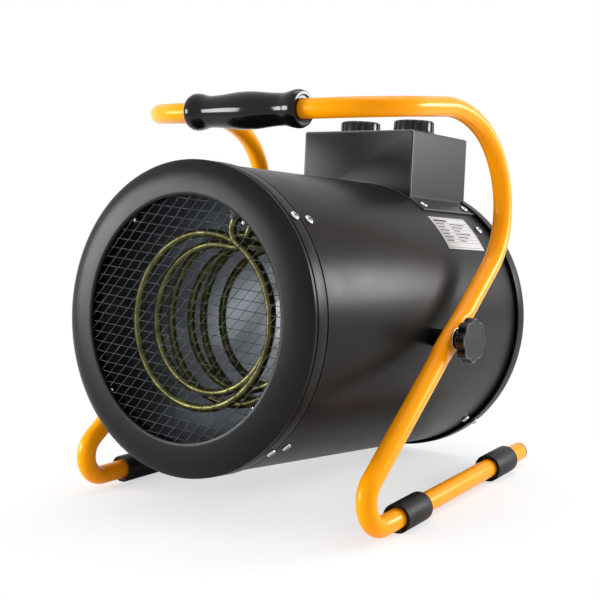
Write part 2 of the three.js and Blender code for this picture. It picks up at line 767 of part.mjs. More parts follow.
// Bend from the radial end of an element into a loop of the given radius: its stations, and the
// angle from the end at which the loop takes over.
function elementEndBend(along, side, radius) {
  const turn = ELEMENT_TURN_RADIUS;
  const offset = Math.asin(turn / (radius + turn));
  const centreRadius = Math.sqrt((radius + turn) ** 2 - turn ** 2);
  const steps = 4;
  const points = Array.from({ length: steps }, (_, i) => {
    const angle = (i / steps) * (Math.PI / 2 - offset);
    return v3(side * turn * (1 - Math.cos(angle)), along, centreRadius - turn * Math.sin(angle));
  });
  return { points, offset };
}

// Centreline of one element: out of the terminal plate, round its loops, and back out.
function elementStations(start) {
  const end = start + ELEMENT_LOOPS * ELEMENT_PITCH;
  const into = elementEndBend(start, 1, OUTER_LOOP_RADIUS);
  const out = elementEndBend(end, -1, INNER_LOOP_RADIUS);
  const steps = ELEMENT_LOOPS * LOOP_STEPS;
  const loop = Array.from({ length: steps + 1 }, (_, i) => {
    const share = i / steps;
    const angle = into.offset + share * (2 * Math.PI * ELEMENT_LOOPS - into.offset - out.offset);
    const radius = loopRadius(angle);
    return v3(radius * Math.sin(angle), start + share * (end - start), radius * Math.cos(angle));
  });
  return [
    v3(0, start, ELEMENT_END_RADIUS),
    ...into.points,
    ...loop,
    ...out.points.reverse(),
    v3(0, end, ELEMENT_END_RADIUS),
  ];
}

// Least gap between the stretches of an element's tube, measured on its stations.
function leastGap(stations) {
  const apart = LOOP_STEPS / 2;
  let least = Infinity;
  stations.forEach((a, i) => {
    stations.slice(i + apart).forEach((b) => {
      least = Math.min(least, a.distanceTo(b));
    });
  });
  return least - 2 * ELEMENT_TUBE_RADIUS;
}

function makeShield() {
  const bore = SHIELD_RADIUS - SHIELD_WALL;
  const shell = tubeSection(bore, SHIELD_RADIUS, SHIELD_FRONT, SHIELD_REAR, DRUM_SIDES);
  const holes = elementEnds().map((along) => {
    const hole = rod(ELEMENT_TUBE_RADIUS + 2 * FIT, 20, 8).rotateX(Math.PI / 2);
    return hole.translate(0, along, SHIELD_RADIUS).rotateY(rad(TERMINAL_ANGLE));
  });
  return cut(shell, ...holes);
}

function makeElementPlate() {
  const inner = SHIELD_RADIUS + FIT;
  const ends = elementEnds();
  const first = ends[0];
  const last = ends[ends.length - 1];
  const length = last - first + 2 * ELEMENT_INSET;
  const strip = curvedStrip(inner, inner + PLATE_THICKNESS, PLATE_WIDTH / 2, length, 4);
  strip.rotateX(-Math.PI / 2).rotateY(-Math.PI / 2).translate(0, (first + last) / 2, 0);
  const holes = ends.map((along) =>
    rod(ELEMENT_TUBE_RADIUS + FIT, 20, 8).rotateX(Math.PI / 2).translate(0, along, inner),
  );
  return cut(strip, ...holes);
}

// The nuts sit against the inside of the shield, round the element's straight ends.
const ELEMENT_NUT_CORNER = ELEMENT_NUT_FLATS / Math.sqrt(3);
const SHIELD_BORE = (SHIELD_RADIUS - SHIELD_WALL) * DRUM_FLAT;
const ELEMENT_NUT_SEAT = Math.sqrt(SHIELD_BORE ** 2 - ELEMENT_NUT_CORNER ** 2) - FIT;

function makeElementNut() {
  const hole = polygon(ELEMENT_TUBE_RADIUS + FIT, 8);
  return prism(polygon(ELEMENT_NUT_CORNER, 6), ELEMENT_NUT_HEIGHT, [hole]);
}

// A tab bent twice: one foot on the shield, one under the casing.
function makeShieldBracket() {
  const low = SHIELD_RADIUS + 2 * FIT;
  const high = Math.sqrt(CASING_BORE ** 2 - (BRACKET_WIDTH / 2) ** 2) - FIT;
  const t = SHEET;
  const outline = [
    v2(-BRACKET_FLANGE, low),
    v2(0, low),
    v2(0, high - t),
    v2(BRACKET_FLANGE, high - t),
    v2(BRACKET_FLANGE, high),
    v2(-t, high),
    v2(-t, low + t),
    v2(-BRACKET_FLANGE, low + t),
  ];
  const tab = prism(outline, BRACKET_WIDTH).translate(0, 0, -BRACKET_WIDTH / 2);
  return tab.rotateX(Math.PI / 2).rotateZ(Math.PI / 2);
}

function buildHotAirPath() {
  piece("inner_tube", makeShield(), GALVANISED, drum);
  const terminals = new THREE.Group();
  terminals.rotation.y = rad(TERMINAL_ANGLE);
  drum.add(terminals);
  piece("element_plate", makeElementPlate(), GALVANISED, terminals);
  for (let i = 0; i < ELEMENT_COUNT; i++) {
    const stations = elementStations(elementStart(i));
    const tube = sweep(stations, ELEMENT_TUBE_RADIUS, ELEMENT_SIDES);
    piece(`heating_element_${i + 1}`, tube, OLIVE_SHEATH, terminals);
    console.log(`heating_element_${i + 1}: least gap to itself ${leastGap(stations).toFixed(1)} mm`);
  }
  elementEnds().forEach((along, i) => {
    const nut = piece(`element_nut_${i + 1}`, makeElementNut(), ZINC, terminals);
    nut.position.set(0, along, ELEMENT_NUT_SEAT - ELEMENT_NUT_HEIGHT);
  });
  const angles = [...BRACKET_ANGLES, ...BRACKET_ANGLES.map((a) => -a)];
  angles.forEach((angle, i) => {
    const bracket = piece(`shield_bracket_${i + 1}`, makeShieldBracket(), GALVANISED, drum);
    bracket.position.y = BRACKET_MIDDLE;
    bracket.rotation.y = rad(angle);
  });
}

// ---------------------------------------------------------------- fan

function makeShroud() {
  const collar = SHIELD_RADIUS + FIT;
  const wall = CASING_BORE - FIT;
  const plate = SHIELD_REAR + FIT;
  return revolve(
    [
      [SHIELD_RADIUS - SHIELD_WALL, plate],
      [collar, plate],
      [collar, plate - 14],
      [collar + SHEET, plate - 14],
      [collar + SHEET, plate],
      [wall - SHEET, plate],
      [wall, plate + SHEET],
      [wall, plate + 16],
      [wall - SHEET, plate + 16],
      [wall - SHEET, plate + 2 * SHEET],
      [collar + 4, plate + SHEET],
      [SHIELD_RADIUS - SHIELD_WALL, plate + SHEET],
    ],
    DRUM_SIDES,
  );
}

// One blade, lofted outwards: each section is a cambered strip at its share of the way out.
function makeBlade() {
  const sections = [
    { share: 0, chord: 0.3, pitch: 42, camber: 5 },
    { share: 0.35, chord: 0.46, pitch: 31, camber: 5 },
    { share: 0.7, chord: 0.58, pitch: 24, camber: 4.5 },
    { share: 1, chord: 0.61, pitch: 20, camber: 4 },
  ];
  const points = [];
  const spans = [-0.5, -0.25, 0, 0.25, 0.5];
  for (const { share, pitch, camber, ...section } of sections) {
    const radius = THREE.MathUtils.lerp(HUB_RADIUS - 2, IMPELLER_RADIUS - 4, share);
    const chord = section.chord * IMPELLER_RADIUS;
    const face = (offset) =>
      spans.map((s) => {
        const bow = camber * (1 - 4 * s * s) + offset;
        const across = s * chord * Math.cos(rad(pitch)) - bow * Math.sin(rad(pitch));
        const axial = s * chord * Math.sin(rad(pitch)) + bow * Math.cos(rad(pitch));
        const angle = across / radius;
        return v3(radius * Math.sin(angle), axial, radius * Math.cos(angle));
      });
    points.push([...face(0), ...face(BLADE_THICKNESS).reverse()]);
  }
  const count = points[0].length;
  const index = [];
  for (let i = 0; i < points.length - 1; i++) {
    for (let j = 0; j < count; j++) {
      const a = i * count + j;
      const b = i * count + ((j + 1) % count);
      index.push(a, b, b + count, a, b + count, a + count);
    }
  }
  const last = (points.length - 1) * count;
  for (let j = 0; j < count / 2 - 1; j++) {
    const [a, b, c, d] = [j, j + 1, count - 2 - j, count - 1 - j];
    index.push(a, c, b, a, d, c, last + a, last + b, last + c, last + a, last + c, last + d);
  }
  const blade = new THREE.BufferGeometry().setFromPoints(points.flat());
  blade.setIndex(index);
  return blade;
}

function makeImpeller() {
  const hub = revolve(
    [
      [0, 0],
      [HUB_RADIUS - 8, 0],
      [HUB_RADIUS - 2, 2],
      [HUB_RADIUS, 8],
      [HUB_RADIUS, HUB_DEPTH],
      [HUB_RADIUS - 2.5, HUB_DEPTH],
      [HUB_RADIUS - 2.5, 9],
      [HUB_RADIUS - 9, 3],
      [9, 3],
      [9, HUB_DEPTH - 6],
      [0, HUB_DEPTH - 6],
    ],
    30,
  );
  const blades = Array.from({ length: BLADE_COUNT }, (_, i) =>
    makeBlade()
      .translate(0, HUB_DEPTH / 2, 0)
      .rotateY((2 * Math.PI * i) / BLADE_COUNT),
  );
  const bore = rod(SHAFT_RADIUS + FIT, 2 * HUB_DEPTH, 12);
  return cut(join(hub, ...blades), bore);
}

function makeMotor() {
  const bell = 14;
  const rear = MOTOR_LENGTH;
  const shell = revolve(
    [
      [0, 0],
      [14, 0],
      [16, 4],
      [MOTOR_RADIUS - 8, 6],
      [MOTOR_RADIUS - 2, 10],
      [MOTOR_RADIUS - 2, bell],
      [MOTOR_RADIUS, bell + 1],
      [MOTOR_RADIUS, rear - bell],
      [MOTOR_RADIUS - 2, rear - bell + 1],
      [MOTOR_RADIUS - 3, rear - 6],
      [MOTOR_RADIUS - 10, rear - 1],
      [20, rear],
      [0, rear],
    ],
    24,
  );
  return cut(shell, rod(SHAFT_RADIUS + FIT, 60, 12));
}

function makeMotorBracket() {
  const reach = CASING_BORE - 2 * FIT;
  const disc = rod(MOTOR_RADIUS - 10, ARM_THICKNESS, 24).translate(0, ARM_THICKNESS / 2, 0);
  const angles = [...BRACKET_ANGLES, ...BRACKET_ANGLES.map((a) => -a)];
  const arms = angles.map((angle) => {
    const arm = block([ARM_WIDTH, ARM_THICKNESS, reach - 20], [0, ARM_THICKNESS / 2, (reach + 20) / 2]);
    return arm.rotateY(rad(angle));
  });
  const feet = angles.map((angle) => {
    const foot = block(
      [ARM_WIDTH, ARM_FLANGE, ARM_THICKNESS],
      [0, ARM_THICKNESS - ARM_FLANGE / 2, reach - ARM_THICKNESS / 2 - 0.4],
    );
    return foot.rotateY(rad(angle));
  });
  const centreHole = rod(12, 10, 20);
  const corners = tubeSection(reach, reach + 20, -ARM_FLANGE, ARM_FLANGE, 96);
  return cut(join(disc, ...arms, ...feet), centreHole, corners);
}

function buildFan() {
  piece("fan_shroud", makeShroud(), GALVANISED, drum);
  const impeller = piece("fan_impeller", makeImpeller(), ALUMINIUM, drum);
  impeller.position.y = IMPELLER_FRONT;
  const shaftFront = IMPELLER_FRONT - 4;
  const shaftRear = MOTOR_FRONT + 26;
  const shaft = rod(SHAFT_RADIUS, shaftRear - shaftFront, 12);
  piece("motor_shaft", shaft.translate(0, (shaftFront + shaftRear) / 2, 0), ZINC, drum);
  const motor = piece("fan_motor", makeMotor(), MOTOR_GREY, drum);
  motor.position.y = MOTOR_FRONT;
  const bracket = piece("motor_bracket", makeMotorBracket(), GALVANISED, drum);
  bracket.position.y = MOTOR_FRONT + MOTOR_LENGTH + FIT;
}

// ---------------------------------------------------------------- control box

const BOX_MIDDLE = BOX_FRONT + BOX_LENGTH / 2;
const BOX_REAR = BOX_FRONT + BOX_LENGTH;
const CONTROLS_UNDER = BOX_TOP - SHEET - FIT; // inner face of the box's top, less the fit

function roundedRectangle(halfX, halfY, corner) {
  const quarter = (x, y, from) =>
    arcPoints(corner, from, from + Math.PI / 2, 2).map((p) => v2(x + p.x, y + p.y));
  const [x, y] = [halfX - corner, halfY - corner];
  return [
    ...quarter(x, y, 0),
    ...quarter(-x, y, Math.PI / 2),
    ...quarter(-x, -y, Math.PI),
    ...quarter(x, -y, 1.5 * Math.PI),
  ];
}

function makeControlBox() {
  const bottom = 110;
  const bevel = BOX_CORNER - 0.5;
  const plan = roundedRectangle(BOX_HALF_WIDTH - bevel, BOX_LENGTH / 2 - bevel, BOX_CORNER - bevel);
  const outer = new THREE.ExtrudeGeometry(new THREE.Shape(plan), {
    depth: BOX_TOP - bottom - 2 * bevel,
    bevelSize: bevel,
    bevelThickness: bevel,
    bevelSegments: 2,
  });
  outer.translate(0, BOX_MIDDLE, bottom + bevel);
  const inner = block(
    [2 * (BOX_HALF_WIDTH - SHEET), BOX_LENGTH - 2 * SHEET, BOX_TOP - bottom],
    [0, BOX_MIDDLE, (BOX_TOP + bottom) / 2 - SHEET],
  );
  const cover = cut(outer, inner);

  // side flanges, bent out to lie on the drum
  const seat = CASING_RADIUS + 2 * FIT;
  const start = Math.asin((BOX_HALF_WIDTH - SHEET / 2) / seat);
  const middle = start + FLANGE_WIDTH / 2 / seat;
  const flanges = SIDES.map(([, side]) => {
    const flange = block([FLANGE_WIDTH, BOX_LENGTH - 1, SHEET], [0, BOX_MIDDLE, seat + SHEET / 2]);
    return flange.rotateY(side * middle);
  });
  const drumSpace = rod(CASING_RADIUS + FIT, 2 * BOX_LENGTH, 2 * DRUM_SIDES).translate(0, BOX_MIDDLE, 0);
  const ringSpace = rod(CASING_RADIUS + REAR_BAND_STEP + FIT, BOX_LENGTH, 2 * DRUM_SIDES);
  ringSpace.translate(0, DRUM_HALF_LENGTH - REAR_BAND - FIT + BOX_LENGTH / 2, 0);
  const spindleHoles = SIDES.map(([, side]) => {
    const hole = rod(SPINDLE_RADIUS + 1.5, 20, 12).rotateX(Math.PI / 2);
    return hole.translate((side * CONTROL_SPACING) / 2, BOX_MIDDLE, BOX_TOP);
  });
  const glandHole = rod(GLAND_RADIUS - 3 + FIT, 20, 16).translate(GLAND_X, BOX_REAR, GLAND_HEIGHT);
  return cut(join(cover, ...flanges), drumSpace, ringSpace, ...spindleHoles, glandHole);
}

function flutedOutline(radius) {
  const steps = CONTROL_KNOB_FLUTES * 3;
  return Array.from({ length: steps }, (_, i) => {
    const angle = (2 * Math.PI * i) / steps;
    const reach = radius - (i % 3 === 0 ? 1.3 : 0);
    return v2(reach * Math.cos(angle), reach * Math.sin(angle));
  });
}

// Built upright with its underside at 0.
function makeControlKnob() {
  const bevel = 2;
  const crown = new THREE.ExtrudeGeometry(new THREE.Shape(flutedOutline(CONTROL_KNOB_RADIUS - bevel)), {
    depth: CONTROL_KNOB_HEIGHT - 2 * bevel,
    bevelSize: bevel,
    bevelThickness: bevel,
    bevelSegments: 1,
  });
  crown.translate(0, 0, bevel);
  const bore = rod(SPINDLE_RADIUS + FIT, 22, 12).rotateX(Math.PI / 2);
  const pointerLength = CONTROL_KNOB_RADIUS - 6;
  const pointer = block([2.4, pointerLength, 2], [0, -CONTROL_KNOB_RADIUS / 2, CONTROL_KNOB_HEIGHT]);
  return cut(crown, bore, pointer);
}

const SPINDLE_BOTTOM = BOX_TOP - 16;
const KNOB_BOTTOM = BOX_TOP + FIT;

function makeSpindle() {
  const top = KNOB_BOTTOM + 11 - FIT;
  return rod(SPINDLE_RADIUS, top - SPINDLE_BOTTOM, 12)
    .rotateX(Math.PI / 2)
    .translate(0, 0, (top + SPINDLE_BOTTOM) / 2);
}

function makeControlBody([width, length, height]) {
  const body = block([width, length, height], [0, 0, CONTROLS_UNDER - height / 2]);
  const boreDepth = CONTROLS_UNDER - SPINDLE_BOTTOM + FIT;
  const bore = rod(SPINDLE_RADIUS + FIT, 2 * boreDepth, 12).rotateX(Math.PI / 2);
  return cut(body, bore.translate(0, 0, CONTROLS_UNDER));
}

function makeTerminalBlock() {
  const [length, width, height] = TERMINAL_BLOCK_SIZE;
  const body = block([length, width, height], [0, 0, height / 2]);
  const ways = 6;
  const wells = Array.from({ length: ways }, (_, i) => {
    const x = (i - (ways - 1) / 2) * (length / ways);
    return block([length / ways - 3, width / 2, height], [x, 0, height]);
  });
  return cut(body, ...wells);
}

function makeContactor() {
  const [width, length, height] = CONTACTOR_SIZE;
  const body = block([width, length, height * 0.6], [0, 0, height * 0.3]);
  const head = block([width, length * 0.55, height * 0.5], [0, 0, height * 0.75]);
  return join(body, head);
}

function makeGland() {
  const hexagon = prism(polygon(GLAND_RADIUS / Math.cos(Math.PI / 6), 6), 6).rotateX(-Math.PI / 2);
  hexagon.translate(0, FIT, 0);
  const neck = rod(GLAND_RADIUS - 3, 14, 16).translate(0, -5, 0);
  const dome = revolve(
    [
      [0, FIT + 5],
      [GLAND_RADIUS - 1, FIT + 5],
      [GLAND_RADIUS - 1, GLAND_LENGTH - 5],
      [GLAND_BORE + 2, GLAND_LENGTH],
      [0, GLAND_LENGTH],
    ],
    16,
  );
  return cut(join(hexagon, neck, dome), rod(GLAND_BORE, 80, 16));
}

function makeCutout() {
  const capRadius = CUTOUT_RADIUS - 3;
  const rimHeight = CUTOUT_HEIGHT - 4;
  return revolve(
    [
      [0, 0],
      [CUTOUT_RADIUS, 0],
      [CUTOUT_RADIUS, rimHeight],
      [capRadius, rimHeight + 1],
      [capRadius, CUTOUT_HEIGHT],
      [0, CUTOUT_HEIGHT],
    ],
    14,
  );
}

function buildControlBox() {
  piece("control_box", makeControlBox(), BOX_POWDER, drum);
  const controls = [
    ["switch", "rotary_switch", SWITCH_SIZE, -1],
    ["thermostat", "thermostat", THERMOSTAT_SIZE, 1],
  ];
  for (const [name, body, size, side] of controls) {
    const place = new THREE.Group();
    place.position.set((side * CONTROL_SPACING) / 2, BOX_MIDDLE, 0);
    drum.add(place);
    piece(body, makeControlBody(size), CREAM_PLASTIC, place);
    piece(`${name}_spindle`, makeSpindle(), ZINC, place);
    const knob = piece(`${name}_knob`, makeControlKnob(), BLACK_PLASTIC, place);
    knob.position.z = KNOB_BOTTOM;
  }
  const floor = CASING_RADIUS + FIT;
  const blockAt = piece("terminal_block", makeTerminalBlock(), CREAM_PLASTIC, drum);
  blockAt.position.set(26, BOX_FRONT + 14, floor);
  const contactor = piece("contactor", makeContactor(), CREAM_PLASTIC, drum);
  const contactorX = -BOX_HALF_WIDTH + 34;
  const highSide = contactorX + CONTACTOR_SIZE[0] / 2;
  contactor.position.set(contactorX, BOX_FRONT + 20, Math.sqrt(CASING_RADIUS ** 2 - highSide ** 2) + FIT);
  const gland = piece("cable_gland", makeGland(), BLACK_PLASTIC, drum);
  gland.position.set(GLAND_X, BOX_REAR, GLAND_HEIGHT);
  const nutHole = polygon(GLAND_RADIUS - 3 + FIT, 16);
  const nutOutline = polygon(GLAND_RADIUS / Math.cos(Math.PI / 6), 6);
  const nut = piece("gland_nut", prism(nutOutline, 5, [nutHole]).rotateX(Math.PI / 2), BLACK_PLASTIC, drum);
  nut.position.set(GLAND_X, BOX_REAR - SHEET - FIT, GLAND_HEIGHT);
  const cutout = piece("thermal_cutout", makeCutout(), BLACK_PLASTIC, drum);
  const outwardsAngle = rad(CUTOUT_ANGLE);
  const seat = SHIELD_RADIUS + FIT;
  cutout.position.set(seat * Math.sin(outwardsAngle), CUTOUT_Y, seat * Math.cos(outwardsAngle));
  cutout.rotation.set(Math.PI / 2, outwardsAngle, 0, "YXZ");
}

// ---------------------------------------------------------------- assembly

buildStand();
buildClamps();
buildDrumShell();
buildHotAirPath();
buildFan();
buildControlBox();

// The origin lies on the floor under the middle of the whole object.
product.updateMatrixWorld(true);
const extent = new THREE.Box3().setFromObject(product, true);
product.children.forEach((group) => {
  group.position.y -= (extent.min.y + extent.max.y) / 2;
});

export default product;
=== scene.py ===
"""Round forced air heater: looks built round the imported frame.

Shapes are in millimetres; lamps, floor and shader distances are in metres.
"""

import json
import math

import bmesh
import bpy
from mathutils import Matrix, Vector


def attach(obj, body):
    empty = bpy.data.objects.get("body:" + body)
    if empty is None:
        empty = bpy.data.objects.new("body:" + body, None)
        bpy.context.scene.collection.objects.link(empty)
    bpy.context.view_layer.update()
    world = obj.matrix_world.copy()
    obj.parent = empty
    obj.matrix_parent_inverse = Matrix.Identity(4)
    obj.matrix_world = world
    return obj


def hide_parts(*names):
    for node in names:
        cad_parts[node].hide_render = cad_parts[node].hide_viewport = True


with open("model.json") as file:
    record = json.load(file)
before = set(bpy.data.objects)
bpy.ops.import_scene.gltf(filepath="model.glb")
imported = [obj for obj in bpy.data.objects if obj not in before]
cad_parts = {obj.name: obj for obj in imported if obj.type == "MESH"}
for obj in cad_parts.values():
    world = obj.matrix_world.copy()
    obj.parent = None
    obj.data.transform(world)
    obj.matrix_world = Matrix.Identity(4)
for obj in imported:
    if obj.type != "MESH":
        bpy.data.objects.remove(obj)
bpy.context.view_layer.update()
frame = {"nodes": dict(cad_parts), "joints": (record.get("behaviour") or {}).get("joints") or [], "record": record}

MM = 0.001
TAU = 2 * math.pi
QUARTER = math.pi / 2
SIDES = (("right", 1), ("left", -1))

# ---------------- sizes, as the solids have them

CASING_RADIUS = 149
SHEET = 1.5
DRUM_HALF = 203
CASING_INSET = 7
OPENING_RADIUS = 117.5
FRONT_DISH = 6.6
FRONT_SKIRT = 22
REAR_BAND = 15
REAR_BAND_STEP = 4
PIVOT_BELOW_AXIS = 11.5
PIVOT_BEHIND_MIDDLE = 5

TUBE_RADIUS = 10
LEG_ANGLE = math.radians(34.7)
PIVOT_HEIGHT = 168
FOOT_HEIGHT = 14
HANDLE_HEIGHT = 398
HANDLE_AHEAD = 102
HANDLE_HALF_WIDTH = 156
FOOT_HALF_WIDTH = 178.7
HANDLE_CORNER = 73
TOP_SWEEP_RADIUS = 139
TOP_SWEEP_ANGLE = math.radians(30)
BACK_BEND_RADIUS = 88
FRONT_BEND_RADIUS = 24.5
FOOT_LENGTH = 320
TOE_IN = math.radians(4)
PRESSED_THICKNESS = 14
PRESSED_HALF = 13
PRESSED_BLEND = 26

GRIP_HALF = 69
GRIP_SWELL = 18.9
GRIP_WAIST = 16
SLEEVE_RADIUS = 14.5
SLEEVE_LENGTH = 49
FRONT_SLEEVE_FROM_BEND = 51
REAR_SLEEVE_FROM_END = 60

NET_PITCH = 9.4
NET_RADIUS = 123.5
NET_WIRE = 0.36
NET_ANGLES = (math.radians(-5), math.radians(48))

SHIELD_RADIUS = 120
SHIELD_FRONT = -194
SHIELD_REAR = 112
ELEMENT_RADIUS = 4
OUTER_LOOP = 86
INNER_LOOP = 72
ELEMENT_TURNS = 2
ELEMENT_PITCH = 14
ELEMENT_SPACING = 51
ELEMENT_COUNT = 3
FIRST_ELEMENT = -185
ELEMENT_END = 138
ELEMENT_TURN = 16
TERMINAL_ANGLE = math.radians(23)

IMPELLER_RADIUS = 114
IMPELLER_FRONT = 97
HUB_RADIUS = 32
HUB_DEPTH = 30
BLADES = 5
BLADE_THICKNESS = 2.2
# share of the way out, chord as a share of the wheel's radius, pitch in degrees, camber
BLADE_STATIONS = ((0, 0.3, 42, 5), (0.35, 0.46, 31, 5), (0.7, 0.58, 24, 4.5), (1, 0.61, 20, 4))
SHAFT_RADIUS = 4
MOTOR_RADIUS = 46
MOTOR_FRONT = 131
MOTOR_LENGTH = 60

BOX_HALF_WIDTH = 72
BOX_FRONT = 77.5
BOX_LENGTH = 118
BOX_TOP = 206.2
FLANGE_WIDTH = 22
BOX_SEAT = CASING_RADIUS + 0.5
CONTROL_SPACING = 72
CONTROL_RADIUS = 24.2
CONTROL_HEIGHT = 16
CONTROL_FLUTES = 18

CLAMP_BORE = 4.4
WASHER_RADIUS = 11.6
WASHER_THICKNESS = 1.6
BUSH_RADIUS = 9
STAR_RADIUS = 22.4
STAR_LOBES = 8
STAR_LOBE_DEPTH = 0.125
HUB_LENGTH = 7.5
STAR_THICKNESS = 11

# ---------------- frames


def moved(x, y, z):
    return Matrix.Translation((x, y, z))


def rotated(angle, axis):
    return Matrix.Rotation(angle, 4, axis)


joints = {joint["name"]: joint for joint in frame["joints"]}
pivot = Vector(joints["heater_tilt"]["pos_m"]) / MM
drum_axis = Vector(joints["fan_spin"]["axis"])
tilt = math.atan2(-drum_axis.z, drum_axis.y)

METRES = Matrix.Scale(MM, 4)
STAND = METRES @ moved(0, pivot.y, 0)
TILTED = METRES @ moved(*pivot) @ rotated(-tilt, "X")
DRUM = TILTED @ moved(0, -PIVOT_BEHIND_MIDDLE, PIVOT_BELOW_AXIS)


def drum_radial(degrees, radius, along):
    """Frame on the drum at an angle from the top towards +X: +Z points outwards, +Y along the drum."""
    return DRUM @ rotated(math.radians(degrees), "Y") @ moved(0, along, radius)


def link_object(name, data):
    made = bpy.data.objects.new(name, data)
    bpy.context.scene.collection.objects.link(made)
    return made


# ---------------- camera at the photograph's view

CAMERA_FROM_PIVOT = (809.9, -1132.7, 374.3)
CAMERA_RIGHT = Vector((0.80979, 0.58634, -0.02105))
CAMERA_UP = Vector((-0.05695, 0.11426, 0.99182))
CAMERA_BACK = Vector((0.58395, -0.80196, 0.12592))
LENS = 78.65

camera = link_object("camera", bpy.data.cameras.new("camera"))
camera.data.lens = LENS
camera.data.sensor_width = 36
camera.data.clip_start = 0.05
camera.data.clip_end = 30
view = Matrix((CAMERA_RIGHT, CAMERA_UP, CAMERA_BACK)).transposed().to_4x4()
place = (STAND @ Vector(CAMERA_FROM_PIVOT)).to_3d()
camera.matrix_world = moved(*place) @ view
bpy.context.scene.camera = camera

# ---------------- node helpers


def put(tree, kind, inputs=None, **settings):
    """Adds a node with its settings, and joins or sets the inputs given by name or number."""
    made = tree.nodes.new("ShaderNode" + kind)
    for key, value in settings.items():
        setattr(made, key, value)
    for key, value in (inputs or {}).items():
        feed(tree, made.inputs[key], value)
    return made


def feed(tree, socket, value):
    if isinstance(value, bpy.types.NodeSocket):
        tree.links.new(value, socket)
    else:
        socket.default_value = value


def empty_material(name):
    material = bpy.data.materials.new(name)
    material.use_nodes = True
    material.node_tree.nodes.clear()
    return material


def tone(value):
    """A grey number or an RGB triple as an RGBA tuple."""
    rgb = (value, value, value) if isinstance(value, (int, float)) else value
    return (*rgb, 1.0)


class Shade:
    """A material under construction, with its patterns placed by the object's own coordinates."""

    def __init__(self, name):
        self.material = empty_material(name)
        self.tree = self.material.node_tree
        self.shader = self.node("BsdfPrincipled")
        self.node("OutputMaterial", {0: self.shader.outputs[0]})
        self.place = self.node("TexCoord").outputs["Object"]

    def node(self, kind, inputs=None, **settings):
        return put(self.tree, kind, inputs, **settings)

    def noise(self, scale, detail, roughness=0.5):
        inputs = {"Vector": self.place, "Scale": scale, "Detail": detail, "Roughness": roughness}
        return self.node("TexNoise", inputs).outputs["Fac"]

    def ramp(self, factor, low, high, dark, light):
        """Maps factor from low..high to a colour or grey between dark and light."""
        ramp = self.node("ValToRGB", {"Fac": factor})
        first, last = ramp.color_ramp.elements
        first.position, last.position = low, high
        first.color, last.color = tone(dark), tone(light)
        return ramp.outputs["Color"]

    def mottle(self, value):
        """A plain value as it is, or noise from (scale, detail, ramp from, ramp to, dark, light)."""
        if not isinstance(value, tuple) or len(value) < 6:
            return value
        scale, detail, low, high, dark, light = value
        return self.ramp(self.noise(scale, detail), low, high, dark, light)

    def bump(self, height, strength, distance):
        inputs = {"Height": height, "Strength": strength, "Distance": distance}
        return self.node("Bump", inputs).outputs["Normal"]

    def done(self, **values):
        for key, value in values.items():
            feed(self.tree, self.shader.inputs[key.replace("_", " ")], value)
        return self.material


# ---------------- materials


def coat(name, colour, rough, grain, spread=0.5, **inputs):
    """Colour and roughness as mottle() takes them; grain is noise scale and detail, strength and distance."""
    shade = Shade(name)
    scale, detail, strength, distance = grain
    relief = shade.bump(shade.noise(scale, detail, spread), strength, distance)
    return shade.done(Base_Color=shade.mottle(colour), Roughness=shade.mottle(rough), Normal=relief, **inputs)


def powder(name, dark, light, roughness):
    """Fine-grained satin coat."""
    rough = (40, 3, 0.3, 0.7, roughness - 0.02, roughness + 0.02)
    return coat(name, (14, 3, 0.3, 0.7, dark, light), rough, (2600, 3, 0.12, 0.0003), 0.6, IOR=1.2)


def moulding(name, dark, light, roughness, index=1.4):
    rough = (180, 3, 0.3, 0.7, roughness - 0.05, roughness + 0.05)
    return coat(name, (50, 3, 0.35, 0.7, dark, light), rough, (2200, 4, 0.16, 0.0002), IOR=index)


def metal(name, dark, light, roughness, scale=90):
    colour = (scale, 4, 0.3, 0.7, dark, light)
    rough = (2 * scale, 3, 0.3, 0.7, roughness - 0.06, roughness + 0.06)
    return coat(name, colour, rough, (6 * scale, 3, 0.08, 0.0003), Metallic=1.0)


def enamel():
    colour = (9, 2, 0.3, 0.7, (1.0, 0.325, 0.0), (1.0, 0.355, 0.001))
    rough = (60, 3, 0.3, 0.7, 0.21, 0.27)
    tint = tone((1.0, 0.78, 0.3))
    return coat("orange_enamel", colour, rough, (420, 2, 0.03, 0.0004), IOR=1.36, Specular_Tint=tint)


def sheath():
    """Heat-tinted element sheath, blotched along its length."""
    colour = (70, 5, 0.35, 0.68, (0.042, 0.04, 0.011), (0.115, 0.11, 0.034))
    return coat("olive_sheath", colour, (220, 4, 0.3, 0.7, 0.28, 0.42), (800, 3, 0.12, 0.0003), Metallic=0.85)


def box_coat_with_painted_highlights():
    """Grey coat of the folded cover, lighter along its edges as a painted highlight."""
    shade = Shade("grey_powder_coat")
    # painted highlight: where the bevelled normal turns away from the flat one, the coat is mixed towards light
    # grey, a thin light line along each edge
    rounded = shade.node("Bevel", {"Radius": 0.0014}, samples=8).outputs[0]
    flat = shade.node("NewGeometry").outputs["True Normal"]
    along = shade.node("VectorMath", {0: rounded, 1: flat}, operation="DOT_PRODUCT")
    span = {"Value": along.outputs["Value"], "From Min": 0.99, "From Max": 0.86}
    edge = shade.node("MapRange", span).outputs["Result"]
    shares = {0: edge, 6: shade.mottle((14, 3, 0.3, 0.7, 0.019, 0.023)), 7: tone(0.34)}
    mix = shade.node("Mix", shares, data_type="RGBA")
    rough = shade.mottle((40, 3, 0.3, 0.7, 0.28, 0.32))
    texture = shade.bump(shade.noise(2600, 3, 0.6), 0.16, 0.0003)
    return shade.done(Base_Color=mix.outputs[2], Roughness=rough, Normal=texture, IOR=1.21)


